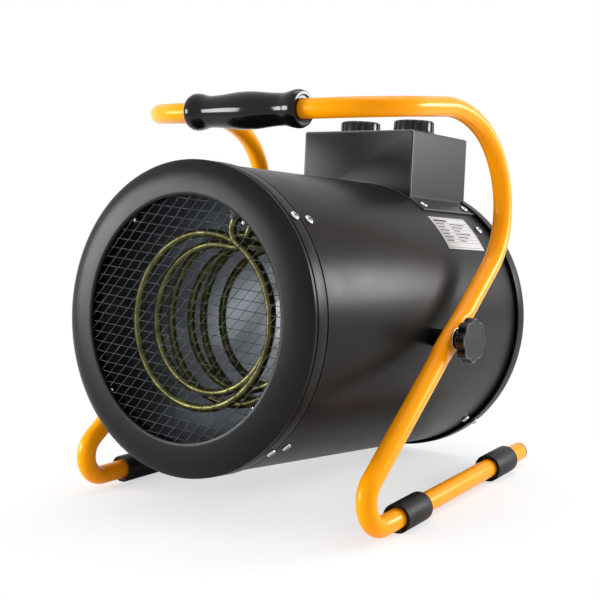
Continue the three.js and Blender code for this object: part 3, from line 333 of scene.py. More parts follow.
def galvanised():
    """Zinc spangle: flat crystals of slightly different greys and gloss, with painted shade: darker towards the
    outlet.
    """
    shade = Shade("galvanised_sheet")
    warp = shade.node("Mapping", {"Vector": shade.place, "Scale": (1, 0.6, 1)}).outputs[0]
    cells = shade.node("TexVoronoi", {"Vector": warp, "Scale": 160.0}).outputs["Color"]
    grey = shade.node("SeparateColor", {"Color": cells}).outputs[0]
    spangle_colour = shade.ramp(grey, 0.0, 1.0, (0.68, 0.74, 0.79), (0.76, 0.82, 0.87))
    # painted shade: the sheet's colour falls to near black from the rear towards the outlet at the front; the same
    # share makes the sheet glossier there
    along = shade.node("SeparateXYZ", {"Vector": shade.place}).outputs[1]
    span = {"Value": along, "From Min": -0.2, "From Max": 0.06, "To Min": 0.04, "To Max": 1.0}
    depth_share = shade.node("MapRange", span, interpolation_type="SMOOTHSTEP").outputs["Result"]
    shares = {0: depth_share, 6: tone((0.03, 0.034, 0.038)), 7: spangle_colour}
    colour = shade.node("Mix", shares, data_type="RGBA").outputs[2]
    span = {"Value": depth_share, "To Min": 0.26, "To Max": 0.6}
    rough = shade.node("MapRange", span).outputs["Result"]
    rough = shade.node("Math", {0: rough, 1: shade.ramp(grey, 0, 1, 0.0, 0.03)}).outputs[0]
    relief = shade.bump(shade.noise(500, 3), 0.02, 0.0003)
    return shade.done(Base_Color=colour, Metallic=1.0, Roughness=rough, Normal=relief)


ORANGE = enamel()
DRUM_BLACK = powder("black_powder_coat", 0.008, 0.011, 0.31)
BOX_GREY = box_coat_with_painted_highlights()
GRIP_GLOSS = (130, 3, 0.35, 0.7, 0.09, 0.15)
GRIP_BLACK = coat("grip_gloss_black", tone(0.003), GRIP_GLOSS, (60, 2, 0.04, 0.0006), IOR=1.32)
RUBBER_COLOUR = (60, 4, 0.35, 0.7, 0.004, 0.009)
RUBBER_ROUGH = (300, 4, 0.3, 0.7, 0.42, 0.56)
RUBBER = coat("black_rubber", RUBBER_COLOUR, RUBBER_ROUGH, (1500, 5, 0.2, 0.0003), IOR=1.3)
KNOB_BLACK = moulding("black_moulding", 0.003, 0.006, 0.27)
KNOB_FACE = moulding("dark_grey_moulding", 0.014, 0.020, 0.42, 1.3)
# lighter moulding on the rounded edge round each star knob's face: a painted highlight
KNOB_RIM_HIGHLIGHT = moulding("knob_rim_painted_highlight", 0.07, 0.10, 0.4)
BUSH_BLACK = moulding("bush_moulding", 0.001, 0.002, 0.65, 1.12)
CREAM = moulding("cream_moulding", (0.5, 0.46, 0.37), (0.6, 0.55, 0.45), 0.5)
INK = moulding("grey_ink", 0.03, 0.05, 0.5)
ZINC = metal("bright_zinc", 0.58, 0.70, 0.2)
MESH_STEEL = metal("mesh_wire", 0.028, 0.046, 0.38, 300)
FITTING_STEEL = metal("fitting_steel", 0.03, 0.05, 0.52, 200)
ALLOY = metal("cast_alloy", 0.42, 0.52, 0.45, 120)
MOTOR_PAINT = powder("motor_paint", 0.035, 0.05, 0.45)
GALVANISED = galvanised()
SHEATH = sheath()
LABEL = coat("label_vinyl", (40, 3, 0.3, 0.7, 0.50, 0.56), 0.36, (600, 2, 0.05, 0.0002))

SLOT_MATERIALS = {
    "orange_tube": ORANGE,
    "black_drum": DRUM_BLACK,
    "box_cover": BOX_GREY,
    "grip": GRIP_BLACK,
    "rubber": RUBBER,
    "knob": KNOB_BLACK,
    "zinc": ZINC,
    "galvanised": GALVANISED,
    "mesh": MESH_STEEL,
    "sheath": SHEATH,
    "alloy": ALLOY,
    "motor": MOTOR_PAINT,
    "insulator": CREAM,
    "bush": BUSH_BLACK,
}

for entry in frame["record"]["subparts"]:
    solid = frame["nodes"][entry["node"]]
    solid.data.materials.clear()
    solid.data.materials.append(SLOT_MATERIALS[entry["material_slot"]])
frame["nodes"]["element_plate"].data.materials[0] = FITTING_STEEL

# ---------------- mesh helpers


def new_object(name, vertices, faces, matrix, material, sharp=35):
    mesh = bpy.data.meshes.new(name)
    mesh.from_pydata([tuple(v) for v in vertices], [], faces)
    mesh.validate()
    return settle(name, mesh, matrix, material, sharp)


def settle(name, mesh, matrix, material, sharp):
    """A mesh in millimetres as a finished object in metres."""
    mesh.transform(matrix)
    piece = link_object(name, mesh)
    mesh.materials.append(material)
    finish_mesh(piece, sharp)
    return piece


def finish_mesh(piece, sharp=35):
    """Smooth shading, with edges sharper than the given angle in degrees kept crisp."""
    work = bmesh.new()
    work.from_mesh(piece.data)
    bmesh.ops.remove_doubles(work, verts=work.verts, dist=1e-7)
    bmesh.ops.recalc_face_normals(work, faces=work.faces)
    work.to_mesh(piece.data)
    work.free()
    piece.data.shade_smooth()
    piece.data.set_sharp_from_angle(angle=math.radians(sharp))


def add(piece, body, slot, *nodes):
    """Puts a finished piece on its body, and in place of its solids."""
    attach(piece, body)
    if nodes:
        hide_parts(*nodes)


def band(start, rings, sides):
    """Quads between rings of points that follow each other from the index start."""
    faces = []
    for i in range(rings - 1):
        for k in range(sides):
            a = start + i * sides + k
            b = start + i * sides + (k + 1) % sides
            faces.append((a, b, b + sides, a + sides))
    return faces


def end_faces(start, rings, sides):
    """The two faces that close such a band."""
    last = start + (rings - 1) * sides
    return [tuple(range(start + sides - 1, start - 1, -1)), tuple(range(last, last + sides))]


def fillet(points, steps=4):
    """An outline of (x, y) or (x, y, radius) points, its marked corners rounded."""
    rounded = []
    count = len(points)
    for i, point in enumerate(points):
        here = Vector(point[:2])
        radius = point[2] if len(point) > 2 else 0
        if radius == 0:
            rounded.append(here)
            continue
        before = Vector(points[i - 1][:2]) - here
        after = Vector(points[(i + 1) % count][:2]) - here
        half = before.angle(after) / 2
        back = min(radius / math.tan(half), 0.49 * before.length, 0.49 * after.length)
        start = here + back * before.normalized()
        end = here + back * after.normalized()
        for k in range(steps + 1):
            t = k / steps
            rounded.append((1 - t) ** 2 * start + 2 * t * (1 - t) * here + t * t * end)
    return rounded


def lathe(name, outline, matrix, material, sides=96, sharp=35):
    """Revolves a closed (radius, along) outline about +Y. Points on the axis close it there."""
    vertices = []
    rings = []
    for radius, along in fillet(outline):
        if radius < 1e-6:
            rings.append([len(vertices)] * sides)
            vertices.append((0, along, 0))
            continue
        rings.append(list(range(len(vertices), len(vertices) + sides)))
        for k in range(sides):
            turn = TAU * k / sides
            vertices.append((radius * math.sin(turn), along, radius * math.cos(turn)))
    faces = []
    for i, ring in enumerate(rings):
        after = rings[(i + 1) % len(rings)]
        for k in range(sides):
            quad = [ring[k], ring[(k + 1) % sides], after[(k + 1) % sides], after[k]]
            corners = list(dict.fromkeys(quad))
            if len(corners) > 2:
                faces.append(corners)
    return new_object(name, vertices, faces, matrix, material, sharp)


def sweep(name, path, radius, matrix, material, sides):
    """A round bar along a path, closed at both ends."""
    points = [Vector(p) for p in path]
    count = len(points)
    steps = [(after - before).normalized() for before, after in zip(points, points[1:])]
    tangents = [(a + b).normalized() for a, b in zip([Vector(), *steps], [*steps, Vector()])]
    side = tangents[0].orthogonal().normalized()
    vertices = []
    for i in range(count):
        side = (side - side.dot(tangents[i]) * tangents[i]).normalized()
        across = tangents[i].cross(side)
        for k in range(sides):
            turn = TAU * k / sides
            vertices.append(points[i] + radius * (math.cos(turn) * side + math.sin(turn) * across))
    faces = band(0, count, sides) + end_faces(0, count, sides)
    return new_object(name, vertices, faces, matrix, material)


def extrude(name, outline, low, high, matrix, material, bevel=0.6, segments=3):
    """A prism of an (x, y) outline from z low to high, its two ends bevelled."""
    count = len(outline)
    vertices = [(x, y, low) for x, y in outline] + [(x, y, high) for x, y in outline]
    faces = end_faces(0, 2, count) + band(0, 2, count)
    work = bmesh.new()
    made = [work.verts.new(v) for v in vertices]
    for face in faces:
        work.faces.new([made[i] for i in face])
    if bevel:
        caps = [e for e in work.edges if abs(e.verts[0].co.z - e.verts[1].co.z) < 1e-9]
        options = {"offset": bevel, "segments": segments, "profile": 0.5, "clamp_overlap": True}
        bmesh.ops.bevel(work, geom=caps, affect="EDGES", **options)
    mesh = bpy.data.meshes.new(name)
    work.to_mesh(mesh)
    work.free()
    return settle(name, mesh, matrix, material, 40)


def join(name, pieces):
    """Several finished mesh objects as one."""
    work = bmesh.new()
    materials = []
    for piece in pieces:
        start = len(work.faces)
        work.from_mesh(piece.data)
        work.faces.ensure_lookup_table()
        for face in work.faces[start:]:
            used = piece.data.materials[face.material_index]
            if used not in materials:
                materials.append(used)
            face.material_index = materials.index(used)
    mesh = bpy.data.meshes.new(name)
    work.to_mesh(mesh)
    work.free()
    for material in materials:
        mesh.materials.append(material)
    for piece in pieces:
        bpy.data.objects.remove(piece)
    return link_object(name, mesh)


# ---------------- stand


def stand_half_width(height):
    share = (height - FOOT_HEIGHT) / (HANDLE_HEIGHT - FOOT_HEIGHT)
    return FOOT_HALF_WIDTH + (HANDLE_HALF_WIDTH - FOOT_HALF_WIDTH) * share


UPPER_RUN = (
    HANDLE_HEIGHT
    - PIVOT_HEIGHT
    - BACK_BEND_RADIUS * (math.cos(TOP_SWEEP_ANGLE) + math.cos(LEG_ANGLE))
    - TOP_SWEEP_RADIUS * (1 - math.cos(TOP_SWEEP_ANGLE))
) / math.sin(LEG_ANGLE)
LOWER_RUN = (PIVOT_HEIGHT - FOOT_HEIGHT - FRONT_BEND_RADIUS * (1 + math.cos(LEG_ANGLE))) / math.sin(LEG_ANGLE)
FRONT_BEND_Y = -LOWER_RUN * math.cos(LEG_ANGLE) + FRONT_BEND_RADIUS * math.sin(LEG_ANGLE)


def bend(centre, radius, start, end, steps):
    """Side-view arc about a centre, from one heading to another."""
    headings = [start + (end - start) * i / steps for i in range(steps + 1)]
    return [(centre[0] + radius * math.sin(h), centre[1] - radius * math.cos(h)) for h in headings]


def foot_point(behind_bend, side):
    x = FOOT_HALF_WIDTH - behind_bend * math.sin(TOE_IN)
    return Vector((side * x, FRONT_BEND_Y + behind_bend * math.cos(TOE_IN), FOOT_HEIGHT))


def foot_frame(behind_bend, side):
    """On the foot's centreline, with +Y along the foot."""
    return STAND @ moved(*foot_point(behind_bend, side)) @ rotated(side * TOE_IN, "Z")


def stand_half_path():
    """Centreline of the stand from the middle of the bar to the end of the right foot."""
    cos, sin = math.cos(LEG_ANGLE), math.sin(LEG_ANGLE)
    start = (UPPER_RUN * cos, PIVOT_HEIGHT + UPPER_RUN * sin)
    centre = (start[0] - BACK_BEND_RADIUS * sin, start[1] + BACK_BEND_RADIUS * cos)
    back = bend(centre, BACK_BEND_RADIUS, LEG_ANGLE, math.pi - TOP_SWEEP_ANGLE, 40)
    turn = back[-1]
    ahead, drop = TOP_SWEEP_RADIUS * math.sin(TOP_SWEEP_ANGLE), TOP_SWEEP_RADIUS * math.cos(TOP_SWEEP_ANGLE)
    centre = (turn[0] - ahead, turn[1] - drop)
    top = bend(centre, TOP_SWEEP_RADIUS, math.pi - TOP_SWEEP_ANGLE, math.pi, 16)
    reach = PRESSED_HALF + PRESSED_BLEND + 6
    leg = []
    for i in range(49):
        run = reach * (1 - 2 * i / 48)
        leg.append((run * cos, PIVOT_HEIGHT + run * sin))
    front_centre = (FRONT_BEND_Y, FOOT_HEIGHT + FRONT_BEND_RADIUS)
    front = bend(front_centre, FRONT_BEND_RADIUS, math.pi + LEG_ANGLE, TAU, 28)
    side_view = top[::-1] + back[::-1][1:] + leg + front
    corner = []
    for i in range(29):
        turn = QUARTER * (1 - i / 28)
        x = HANDLE_HALF_WIDTH - HANDLE_CORNER + HANDLE_CORNER * math.cos(turn)
        y = -HANDLE_AHEAD + HANDLE_CORNER - HANDLE_CORNER * math.sin(turn)
        corner.append(Vector((x, y, HANDLE_HEIGHT)))
    legs = [Vector((stand_half_width(z), y, z)) for y, z in side_view]
    return [Vector((0, -HANDLE_AHEAD, HANDLE_HEIGHT)), *corner, *legs, foot_point(FOOT_LENGTH, 1)]


def smoothstep(value):
    value = min(max(value, 0), 1)
    return value * value * (3 - 2 * value)


def press_flat(piece):
    """Flattens both legs where the clamps hold them."""
    run = Vector((0, math.cos(LEG_ANGLE), math.sin(LEG_ANGLE)))
    across = Vector((0, -math.sin(LEG_ANGLE), math.cos(LEG_ANGLE)))
    half_width = stand_half_width(PIVOT_HEIGHT)
    lean = (stand_half_width(PIVOT_HEIGHT + 1) - half_width) * math.sin(LEG_ANGLE)
    back = STAND.inverted()
    for vertex in piece.data.vertices:
        point = back @ vertex.co
        side = 1 if point.x > 0 else -1
        offset = point - Vector((side * half_width, 0, PIVOT_HEIGHT))
        along = offset.dot(run)
        if abs(offset.x) > 2 * TUBE_RADIUS or abs(offset.dot(across)) > 2 * TUBE_RADIUS:
            continue
        weight = 1 - smoothstep((abs(along) - PRESSED_HALF) / PRESSED_BLEND)
        if weight == 0:
            continue
        depth = offset.x - side * lean * along
        limit = PRESSED_THICKNESS / 2
        squeezed = max(-limit, min(limit, depth))
        widen = offset.dot(across) * 0.2 * weight
        target = offset + across * widen
        target.x = offset.x + (squeezed - offset.x) * weight
        vertex.co = STAND @ (target + Vector((side * half_width, 0, PIVOT_HEIGHT)))


def make_stand():
    right = stand_half_path()
    left = [Vector((-p.x, p.y, p.z)) for p in right[1:]]
    tube = sweep("stand_tube", left[::-1] + right, TUBE_RADIUS, STAND, ORANGE, 48)
    press_flat(tube)
    finish_mesh(tube)
    add(tube, "stand", "orange_tube", "stand_frame")


def make_grip():
    end = GRIP_HALF
    outline = [(10.4, -end + 1.2), (12.6, -end + 1.2), (13.0, -end, 0.4), (17.2, -end, 1.2)]
    steps = 64
    for i in range(steps + 1):
        x = -end + 3.5 + (2 * end - 7) * i / steps
        outline.append((grip_radius(abs(x)), x))
    outline += [(17.2, end, 1.2), (13.0, end, 0.4), (12.6, end - 1.2), (10.4, end - 1.2)]
    matrix = STAND @ moved(0, -HANDLE_AHEAD, HANDLE_HEIGHT) @ rotated(-QUARTER, "Z")
    add(lathe("grip_moulding", outline, matrix, GRIP_BLACK, sharp=50), "stand", "grip", "handle_grip")


def grip_radius(x):
    """Radius of the grip at a distance from its middle: swell, waist, swell, rounded end."""
    waist_at, full_at = 45, 63.5
    rise = GRIP_SWELL - GRIP_WAIST
    if x < waist_at:
        return GRIP_WAIST + rise * (1 + math.cos(math.pi * x / waist_at)) / 2
    if x < full_at:
        return GRIP_WAIST + rise * (1 - math.cos(math.pi * (x - waist_at) / (full_at - waist_at))) / 2
    drop = (x - full_at) / 5.5
    return GRIP_SWELL - 1.7 * drop * drop


def make_sleeves():
    half = SLEEVE_LENGTH / 2
    lip = half - 2.2
    outline = [(10.35, -lip), (12.6, -lip, 0.5), (12.9, -half, 0.4), (SLEEVE_RADIUS, -half, 1)]
    outline += [(SLEEVE_RADIUS, half, 1), (12.9, half, 0.4), (12.6, lip, 0.5), (10.35, lip)]
    for name, side in SIDES:
        places = {"front": FRONT_SLEEVE_FROM_BEND, "rear": FOOT_LENGTH - REAR_SLEEVE_FROM_END}
        for end, distance in places.items():
            sleeve = lathe(f"sleeve_{end}_{name}", outline, foot_frame(distance, side), RUBBER, 72)
            for vertex in sleeve.data.vertices:
                vertex.co.z = max(vertex.co.z, 0.0)
            add(sleeve, "stand", "rubber", f"foot_sleeve_{end}_{name}")


def make_end_caps():
    outline = [(0, -10), (8, -10, 1), (8, 0.3), (10, 0.3, 0.4), (10, 3, 1.4), (0, 3.2)]
    for name, side in SIDES:
        cap = lathe(f"end_cap_{name}", outline, foot_frame(FOOT_LENGTH, side), RUBBER, 64)
        add(cap, "stand", "rubber", f"tube_end_cap_{name}")


# ---------------- drum


def make_casing():
    edge = DRUM_HALF - CASING_INSET
    inner = CASING_RADIUS - SHEET
    outline = [(inner, -edge), (CASING_RADIUS, -edge, 0.3), (CASING_RADIUS, edge, 0.3), (inner, edge)]
    add(lathe("drum_sheet", outline, DRUM, DRUM_BLACK, 256), "heater", "black_drum", "outer_casing")


def make_front_ring():
    inner = CASING_RADIUS + 0.3
    outer = inner + SHEET
    shoulder = -DRUM_HALF
    rim = shoulder - FRONT_DISH
    edge = shoulder + FRONT_SKIRT
    groove = outer - 1.2
    outline = [
        (inner, edge), (outer, edge, 0.25), (outer, edge - 1.6, 0.25), (groove, edge - 1.8),
        (groove, edge - 3.2), (outer, edge - 3.5, 0.3), (outer, shoulder + 5.2, 0.3),
        (groove, shoulder + 4.8), (groove, shoulder + 3.4), (outer + 0.1, shoulder + 2.9, 0.4),
    ]
    bore = OPENING_RADIUS
    face = bezier((outer, shoulder), (outer - 6, shoulder - 4.6), (bore + 20, rim - 0.2), (bore, rim))
    outline += face
    outline += [(bore - 0.7, rim + 0.5), (bore - 0.5, rim + 3.2), (bore + 0.5, rim + 3.2)]
    outline += [(p[0], p[1] + SHEET) for p in face[:-3][::-1]]
    outline += [(inner, shoulder + 6)]
    ring = lathe("outlet_ring", outline, DRUM, DRUM_BLACK, 256, sharp=50)
    add(ring, "heater", "black_drum", "front_ring")


def bezier(a, b, c, d, steps=20):
    points = []
    for i in range(steps + 1):
        t = i / steps
        weights = ((1 - t) ** 3, 3 * t * (1 - t) ** 2, 3 * t * t * (1 - t), t**3)
        points.append(tuple(sum(w * p[k] for w, p in zip(weights, (a, b, c, d))) for k in (0, 1)))
    return points


def make_rear_ring():
    end = DRUM_HALF
    outer = CASING_RADIUS + REAR_BAND_STEP
    start = end - REAR_BAND
    bore = OPENING_RADIUS
    outline = [
        (outer - 2.2, start + 0.6), (outer - 1.2, start, 0.4), (outer, start, 1.0), (outer, end, 2.4),
        (bore + 6, end + 1, 2), (bore, end + 0.6, 0.6), (bore, end - 1.1), (bore + 4, end - 0.7),
        (outer - 2.4, end - 1.8, 1.0), (outer - 2.4, start + 4, 1.0), (CASING_RADIUS + 0.4, start + 6),
        (CASING_RADIUS + 0.4, start + 4.6), (outer - 2.6, start + 2.4),
    ]
    add(lathe("inlet_ring", outline, DRUM, DRUM_BLACK, 256), "heater", "black_drum", "rear_ring")


def wire_net(name, plane, node):
    """Woven rhombic netting: two families of waved wires, each a thin tube."""
    pitch, radius, wire, sides = NET_PITCH, NET_RADIUS, NET_WIRE, 6
    directions = [Vector((math.cos(a), math.sin(a))) for a in NET_ANGLES]
    weave = wire * 0.8
    vertices, faces = [], []
    cell = pitch / math.sin(NET_ANGLES[1] - NET_ANGLES[0])
    for family, direction in enumerate(directions):
        normal = Vector((-direction.y, direction.x))
        other = directions[1 - family]
        count = int(radius / pitch)
        for row in range(-count, count + 1):
            middle = normal * (row * pitch)
            half = math.sqrt(max(radius**2 - (row * pitch) ** 2, 0))
            if half < pitch:
                continue
            steps = max(int(2 * half / cell * 6), 8)
            start = len(vertices)
            for i in range(steps + 1):
                s = -half + 2 * half * i / steps
                flat = middle + direction * s
                # which crossing of the other family is near, to pass over or under it
                crossing = flat.dot(Vector((-other.y, other.x))) / pitch
                lift = weave * math.cos(math.pi * crossing) * (1 if (row + family) % 2 else -1)
                for k in range(sides):
                    turn = TAU * k / sides
                    side = normal * (wire * math.cos(turn))
                    vertices.append((flat.x + side.x, plane + lift + wire * math.sin(turn), flat.y + side.y))
            faces += band(start, steps + 1, sides) + end_faces(start, steps + 1, sides)
    add(new_object(name, vertices, faces, DRUM, MESH_STEEL, 60), "heater", "mesh", node)


def make_nets():
    wire_net("front_net", -DRUM_HALF - FRONT_DISH + 2.9, "front_grille")
    wire_net("rear_net", DRUM_HALF - 2.4, "rear_grille")


# ---------------- hot air path


def loop_radius(angle):
    """The winding keeps to the outer radius for two thirds of a turn, then closes in."""
    share = smoothstep((angle - TAU * 2 / 3) / (TAU * 5 / 6))
    return OUTER_LOOP + (INNER_LOOP - OUTER_LOOP) * share


def element_end_bend(along, side, radius, steps=10):
    """Bend from a radial end into a loop, and the angle at which the loop takes over."""
    offset = math.asin(ELEMENT_TURN / (radius + ELEMENT_TURN))
    centre = math.sqrt((radius + ELEMENT_TURN) ** 2 - ELEMENT_TURN**2)
    points = []
    for i in range(steps):
        angle = i / steps * (QUARTER - offset)
        x = side * ELEMENT_TURN * (1 - math.cos(angle))
        points.append((x, along, centre - ELEMENT_TURN * math.sin(angle)))
    return points, offset


def element_path(start):
    end = start + ELEMENT_TURNS * ELEMENT_PITCH
    into, first = element_end_bend(start, 1, OUTER_LOOP)
    out, last = element_end_bend(end, -1, INNER_LOOP)
    steps = 72 * ELEMENT_TURNS
    loop = []
    for i in range(steps + 1):
        share = i / steps
        angle = first + share * (TAU * ELEMENT_TURNS - first - last)
        radius = loop_radius(angle)
        loop.append((radius * math.sin(angle), start + share * (end - start), radius * math.cos(angle)))
    return [(0, start, ELEMENT_END), *into, *loop, *out[::-1], (0, end, ELEMENT_END)]


def make_elements():
    matrix = DRUM @ rotated(TERMINAL_ANGLE, "Y")
    hexagon = [(8.66 * math.cos(TAU * k / 6), 8.66 * math.sin(TAU * k / 6)) for k in range(6)]
    number = 0
    for i in range(ELEMENT_COUNT):
        start = FIRST_ELEMENT + i * ELEMENT_SPACING
        path = element_path(start)
        element = sweep(f"element_{i + 1}", path, ELEMENT_RADIUS, matrix, SHEATH, 20)
        add(element, "heater", "sheath", f"heating_element_{i + 1}")
        for along in (start, start + ELEMENT_TURNS * ELEMENT_PITCH):
            number += 1
            place = matrix @ moved(0, along, 0)
            nut = extrude(f"hex_fitting_{number}", hexagon, 109.6, 117.4, place, FITTING_STEEL, bevel=0.8)
            rim = [(4.1, 104), (6.2, 104, 0.6), (6.2, 109.7), (4.1, 109.7)]
            upright = place @ rotated(QUARTER, "X")
            collar = lathe(f"fitting_collar_{number}", rim, upright, FITTING_STEEL, 32)
            fitting = join(f"element_fitting_{number}", [nut, collar])
            add(fitting, "heater", "zinc", f"element_nut_{number}")


def make_shield():
    inner = SHIELD_RADIUS - 1.2
    outline = [(inner, SHIELD_FRONT), (SHIELD_RADIUS, SHIELD_FRONT, 0.2)]
    outline += [(SHIELD_RADIUS, SHIELD_REAR, 0.2), (inner, SHIELD_REAR)]
    add(lathe("heat_shield", outline, DRUM, GALVANISED, 192), "heater", "galvanised", "inner_tube")


def make_shroud():
    """Orifice plate from the shield to the casing, with the fan running in its opening."""
    collar, wall, plate = SHIELD_RADIUS + 0.3, CASING_RADIUS - SHEET - 0.9, SHIELD_REAR + 0.3
    bore = SHIELD_RADIUS - 1.2
    outline = [
        (bore, plate), (collar, plate), (collar, plate - 14), (collar + SHEET, plate - 14),
        (collar + SHEET, plate), (wall - SHEET, plate), (wall, plate + SHEET, 0.8), (wall, plate + 16),
        (wall - SHEET, plate + 16), (wall - SHEET, plate + 2 * SHEET), (collar + 4, plate + SHEET),
        (bore, plate + SHEET, 0.5),
    ]
    add(lathe("orifice_plate", outline, DRUM, GALVANISED, 128), "heater", "galvanised", "fan_shroud")


def blade_section(share):
    """Radius, chord, pitch and camber of a blade at a share of the way out, eased between stations."""
    stations = BLADE_STATIONS
    for low, high in zip(stations, stations[1:]):
        if share <= high[0]:
            t = (share - low[0]) / (high[0] - low[0])
            chord, pitch, camber = (low[k] + (high[k] - low[k]) * t for k in (1, 2, 3))
            break
    radius = HUB_RADIUS - 2 + (IMPELLER_RADIUS - 4 - (HUB_RADIUS - 2)) * share
    return radius, chord * IMPELLER_RADIUS, math.radians(pitch), camber


def fan_blade(turn):
    """One pressed blade: sections from the hub outwards, its outer corners rounded."""
    rows, spans = 15, 13
    ring = 2 * spans
    vertices = []
    for i in range(rows):
        share = i / (rows - 1)
        radius, chord, pitch, camber = blade_section(share)
        tip = max(0.0, (share - 0.86) / 0.14)
        chord *= 1 - 0.2 * tip**2.4
        for k in range(ring):
            # across one face of the blade, and back across the other
            s = min(k, ring - 1 - k) / (spans - 1) - 0.5
            bow = camber * (1 - 4 * s * s) + (0 if k < spans else BLADE_THICKNESS)
            across = s * chord * math.cos(pitch) - bow * math.sin(pitch)
            axial = s * chord * math.sin(pitch) + bow * math.cos(pitch)
            angle = across / radius
            vertices.append((radius * math.sin(angle), axial, radius * math.cos(angle)))
    faces = band(0, rows, ring)
    for base in (0, (rows - 1) * ring):
        for j in range(spans - 1):
            faces.append((base + j, base + j + 1, base + ring - 2 - j, base + ring - 1 - j))
    place = DRUM @ moved(0, IMPELLER_FRONT + HUB_DEPTH / 2, 0) @ rotated(turn, "Y")
    return new_object("blade", vertices, faces, place, ALLOY, 50)


def make_fan():
    outline = [
        (SHAFT_RADIUS + 0.3, 0, 0.4), (HUB_RADIUS - 8, 0, 1.5), (HUB_RADIUS - 2, 2, 3), (HUB_RADIUS, 8, 2),
        (HUB_RADIUS, HUB_DEPTH, 0.6), (HUB_RADIUS - 2.5, HUB_DEPTH), (HUB_RADIUS - 2.5, 9),
        (HUB_RADIUS - 9, 3), (9, 3), (9, HUB_DEPTH - 6), (SHAFT_RADIUS + 0.3, HUB_DEPTH - 6),
    ]
    hub = lathe("hub", outline, DRUM @ moved(0, IMPELLER_FRONT, 0), ALLOY)
    blades = [fan_blade(TAU * i / BLADES) for i in range(BLADES)]
    add(join("fan_wheel", [hub, *blades]), "fan", "alloy", "fan_impeller")


def make_motor():
    """Bell-ended motor with cooling ribs round its body."""
    end, reach = MOTOR_LENGTH, MOTOR_RADIUS
    outline = [
        (SHAFT_RADIUS + 0.3, 0), (14, 0, 1), (16, 4, 1), (reach - 8, 6, 2), (reach - 2, 10, 2),
        (reach - 2, 14),
    ]
    ribs = 5
    first, last = 16, end - 16
    for i in range(ribs):
        at = first + (last - first) * (i + 0.5) / ribs
        outline += [(reach - 2, at - 1.9), (reach, at - 1.4, 0.4)]
        outline += [(reach, at + 1.4, 0.4), (reach - 2, at + 1.9)]
    outline += [
        (reach - 2, end - 13), (reach - 3, end - 6, 2), (reach - 10, end - 1, 3), (20, end, 1),
        (SHAFT_RADIUS + 0.3, end),
    ]
    place = DRUM @ moved(0, MOTOR_FRONT, 0)
    add(lathe("motor_body", outline, place, MOTOR_PAINT), "heater", "motor", "fan_motor")


# ---------------- control box


def make_control_box():
    """The folded cover: one sheet bent down at the sides and out over the drum."""
    matrix = DRUM @ moved(0, BOX_FRONT + BOX_LENGTH / 2, 0)
    half, length, wall, seat = BOX_HALF_WIDTH, BOX_LENGTH / 2, SHEET, BOX_SEAT
    # cross-section of the folded sheet, outside then inside
    start = math.asin((half - 1) / seat)
    reach = FLANGE_WIDTH / seat
    flange_steps = 6
    angles = [start + reach * i / flange_steps for i in range(flange_steps + 1)]
    outside = [((seat + wall) * math.sin(a), (seat + wall) * math.cos(a)) for a in angles[::-1]]
    inside = [(seat * math.sin(a), seat * math.cos(a)) for a in angles]
    knee = (half, (seat + wall) * math.cos(start) + 1.2, 3.0)
    right_out = [*outside[:-1], (outside[-1][0] + 1.2, outside[-1][1] - 0.2), knee, (half, BOX_TOP, 2.6)]
    inner = half - wall
    right_in = [(inner, BOX_TOP - wall, 1.2), (inner, seat * math.cos(start) + 0.6, 1.2), *inside[1:]]
    section = right_out + [(-p[0], *p[1:]) for p in right_out[::-1]]
    section += [(-p[0], *p[1:]) for p in right_in[::-1]] + right_in
    outline = fillet(section, 5)
    count = len(outline)
    vertices = [(x, -length, z) for x, z in outline] + [(x, length, z) for x, z in outline]
    faces = band(0, 2, count) + sheet_ends(count)
    shell = new_object("box_shell", vertices, faces, matrix, BOX_GREY, 30)
    walls = [box_end(matrix, -length), box_end(matrix, length - wall)]
    add(join("control_cover", [shell, *walls]), "heater", "box_cover", "control_box")


def sheet_ends(count):
    """Quads across the cut edges of a folded sheet whose outline runs out along and back along it."""
    half = count // 2
    ends = []
    for k in range(half - 1):
        a, b = k, k + 1
        c, d = count - 2 - k, count - 1 - k
        ends.append((a, b, c, d))
        ends.append((d + count, c + count, b + count, a + count))
    return ends


def box_end(matrix, at):
    """Front or rear wall of the box, cut to the drum along its lower edge."""
    steps = 40
    half, top = BOX_HALF_WIDTH - 0.4, BOX_TOP - 0.5
    across = [-half + 2 * half * i / steps for i in range(steps + 1)]
    lower = [(x, math.sqrt(BOX_SEAT**2 - x * x)) for x in across]
    outline = fillet([*lower, (half, top, 2.2), (-half, top, 2.2)])
    turned = matrix @ moved(0, at + SHEET, 0) @ rotated(QUARTER, "X")
    return extrude("box_wall", outline, 0, SHEET, turned, BOX_GREY, bevel=0.25, segments=2)


def control_places():
    """Each knob's name, the turn of its scale in degrees, the scale's ticks, and its frame on the cover."""
    middle = BOX_FRONT + BOX_LENGTH / 2
    for name, side, ticks, travel in (("switch", -1, 4, -135), ("thermostat", 1, 10, -270)):
        yield name, travel, ticks, DRUM @ moved(side * CONTROL_SPACING / 2, middle, BOX_TOP)


def make_control_knobs():
    for name, _, _, place in control_places():
        knob = fluted_knob(f"{name}_control_knob", place)
        add(knob, f"{name}_control", "knob", f"{name}_knob")


def make_dial_marks():
    """Plain ticks on the cover round each knob: the switch's steps and the thermostat's scale."""
    bar = [(-0.4, 0), (0.4, 0), (0.4, 3.4), (-0.4, 3.4)]
    for name, travel, ticks, place in control_places():
        marks = []
        for i in range(ticks):
            turn = math.radians(180 + travel * i / (ticks - 1))
            spot = place @ rotated(turn, "Z") @ moved(0, CONTROL_RADIUS + 2, 0)
            marks.append(extrude("tick", bar, 0, 0.12, spot, LABEL, bevel=0))
        add(join(f"{name}_scale", marks), "heater", "insulator")


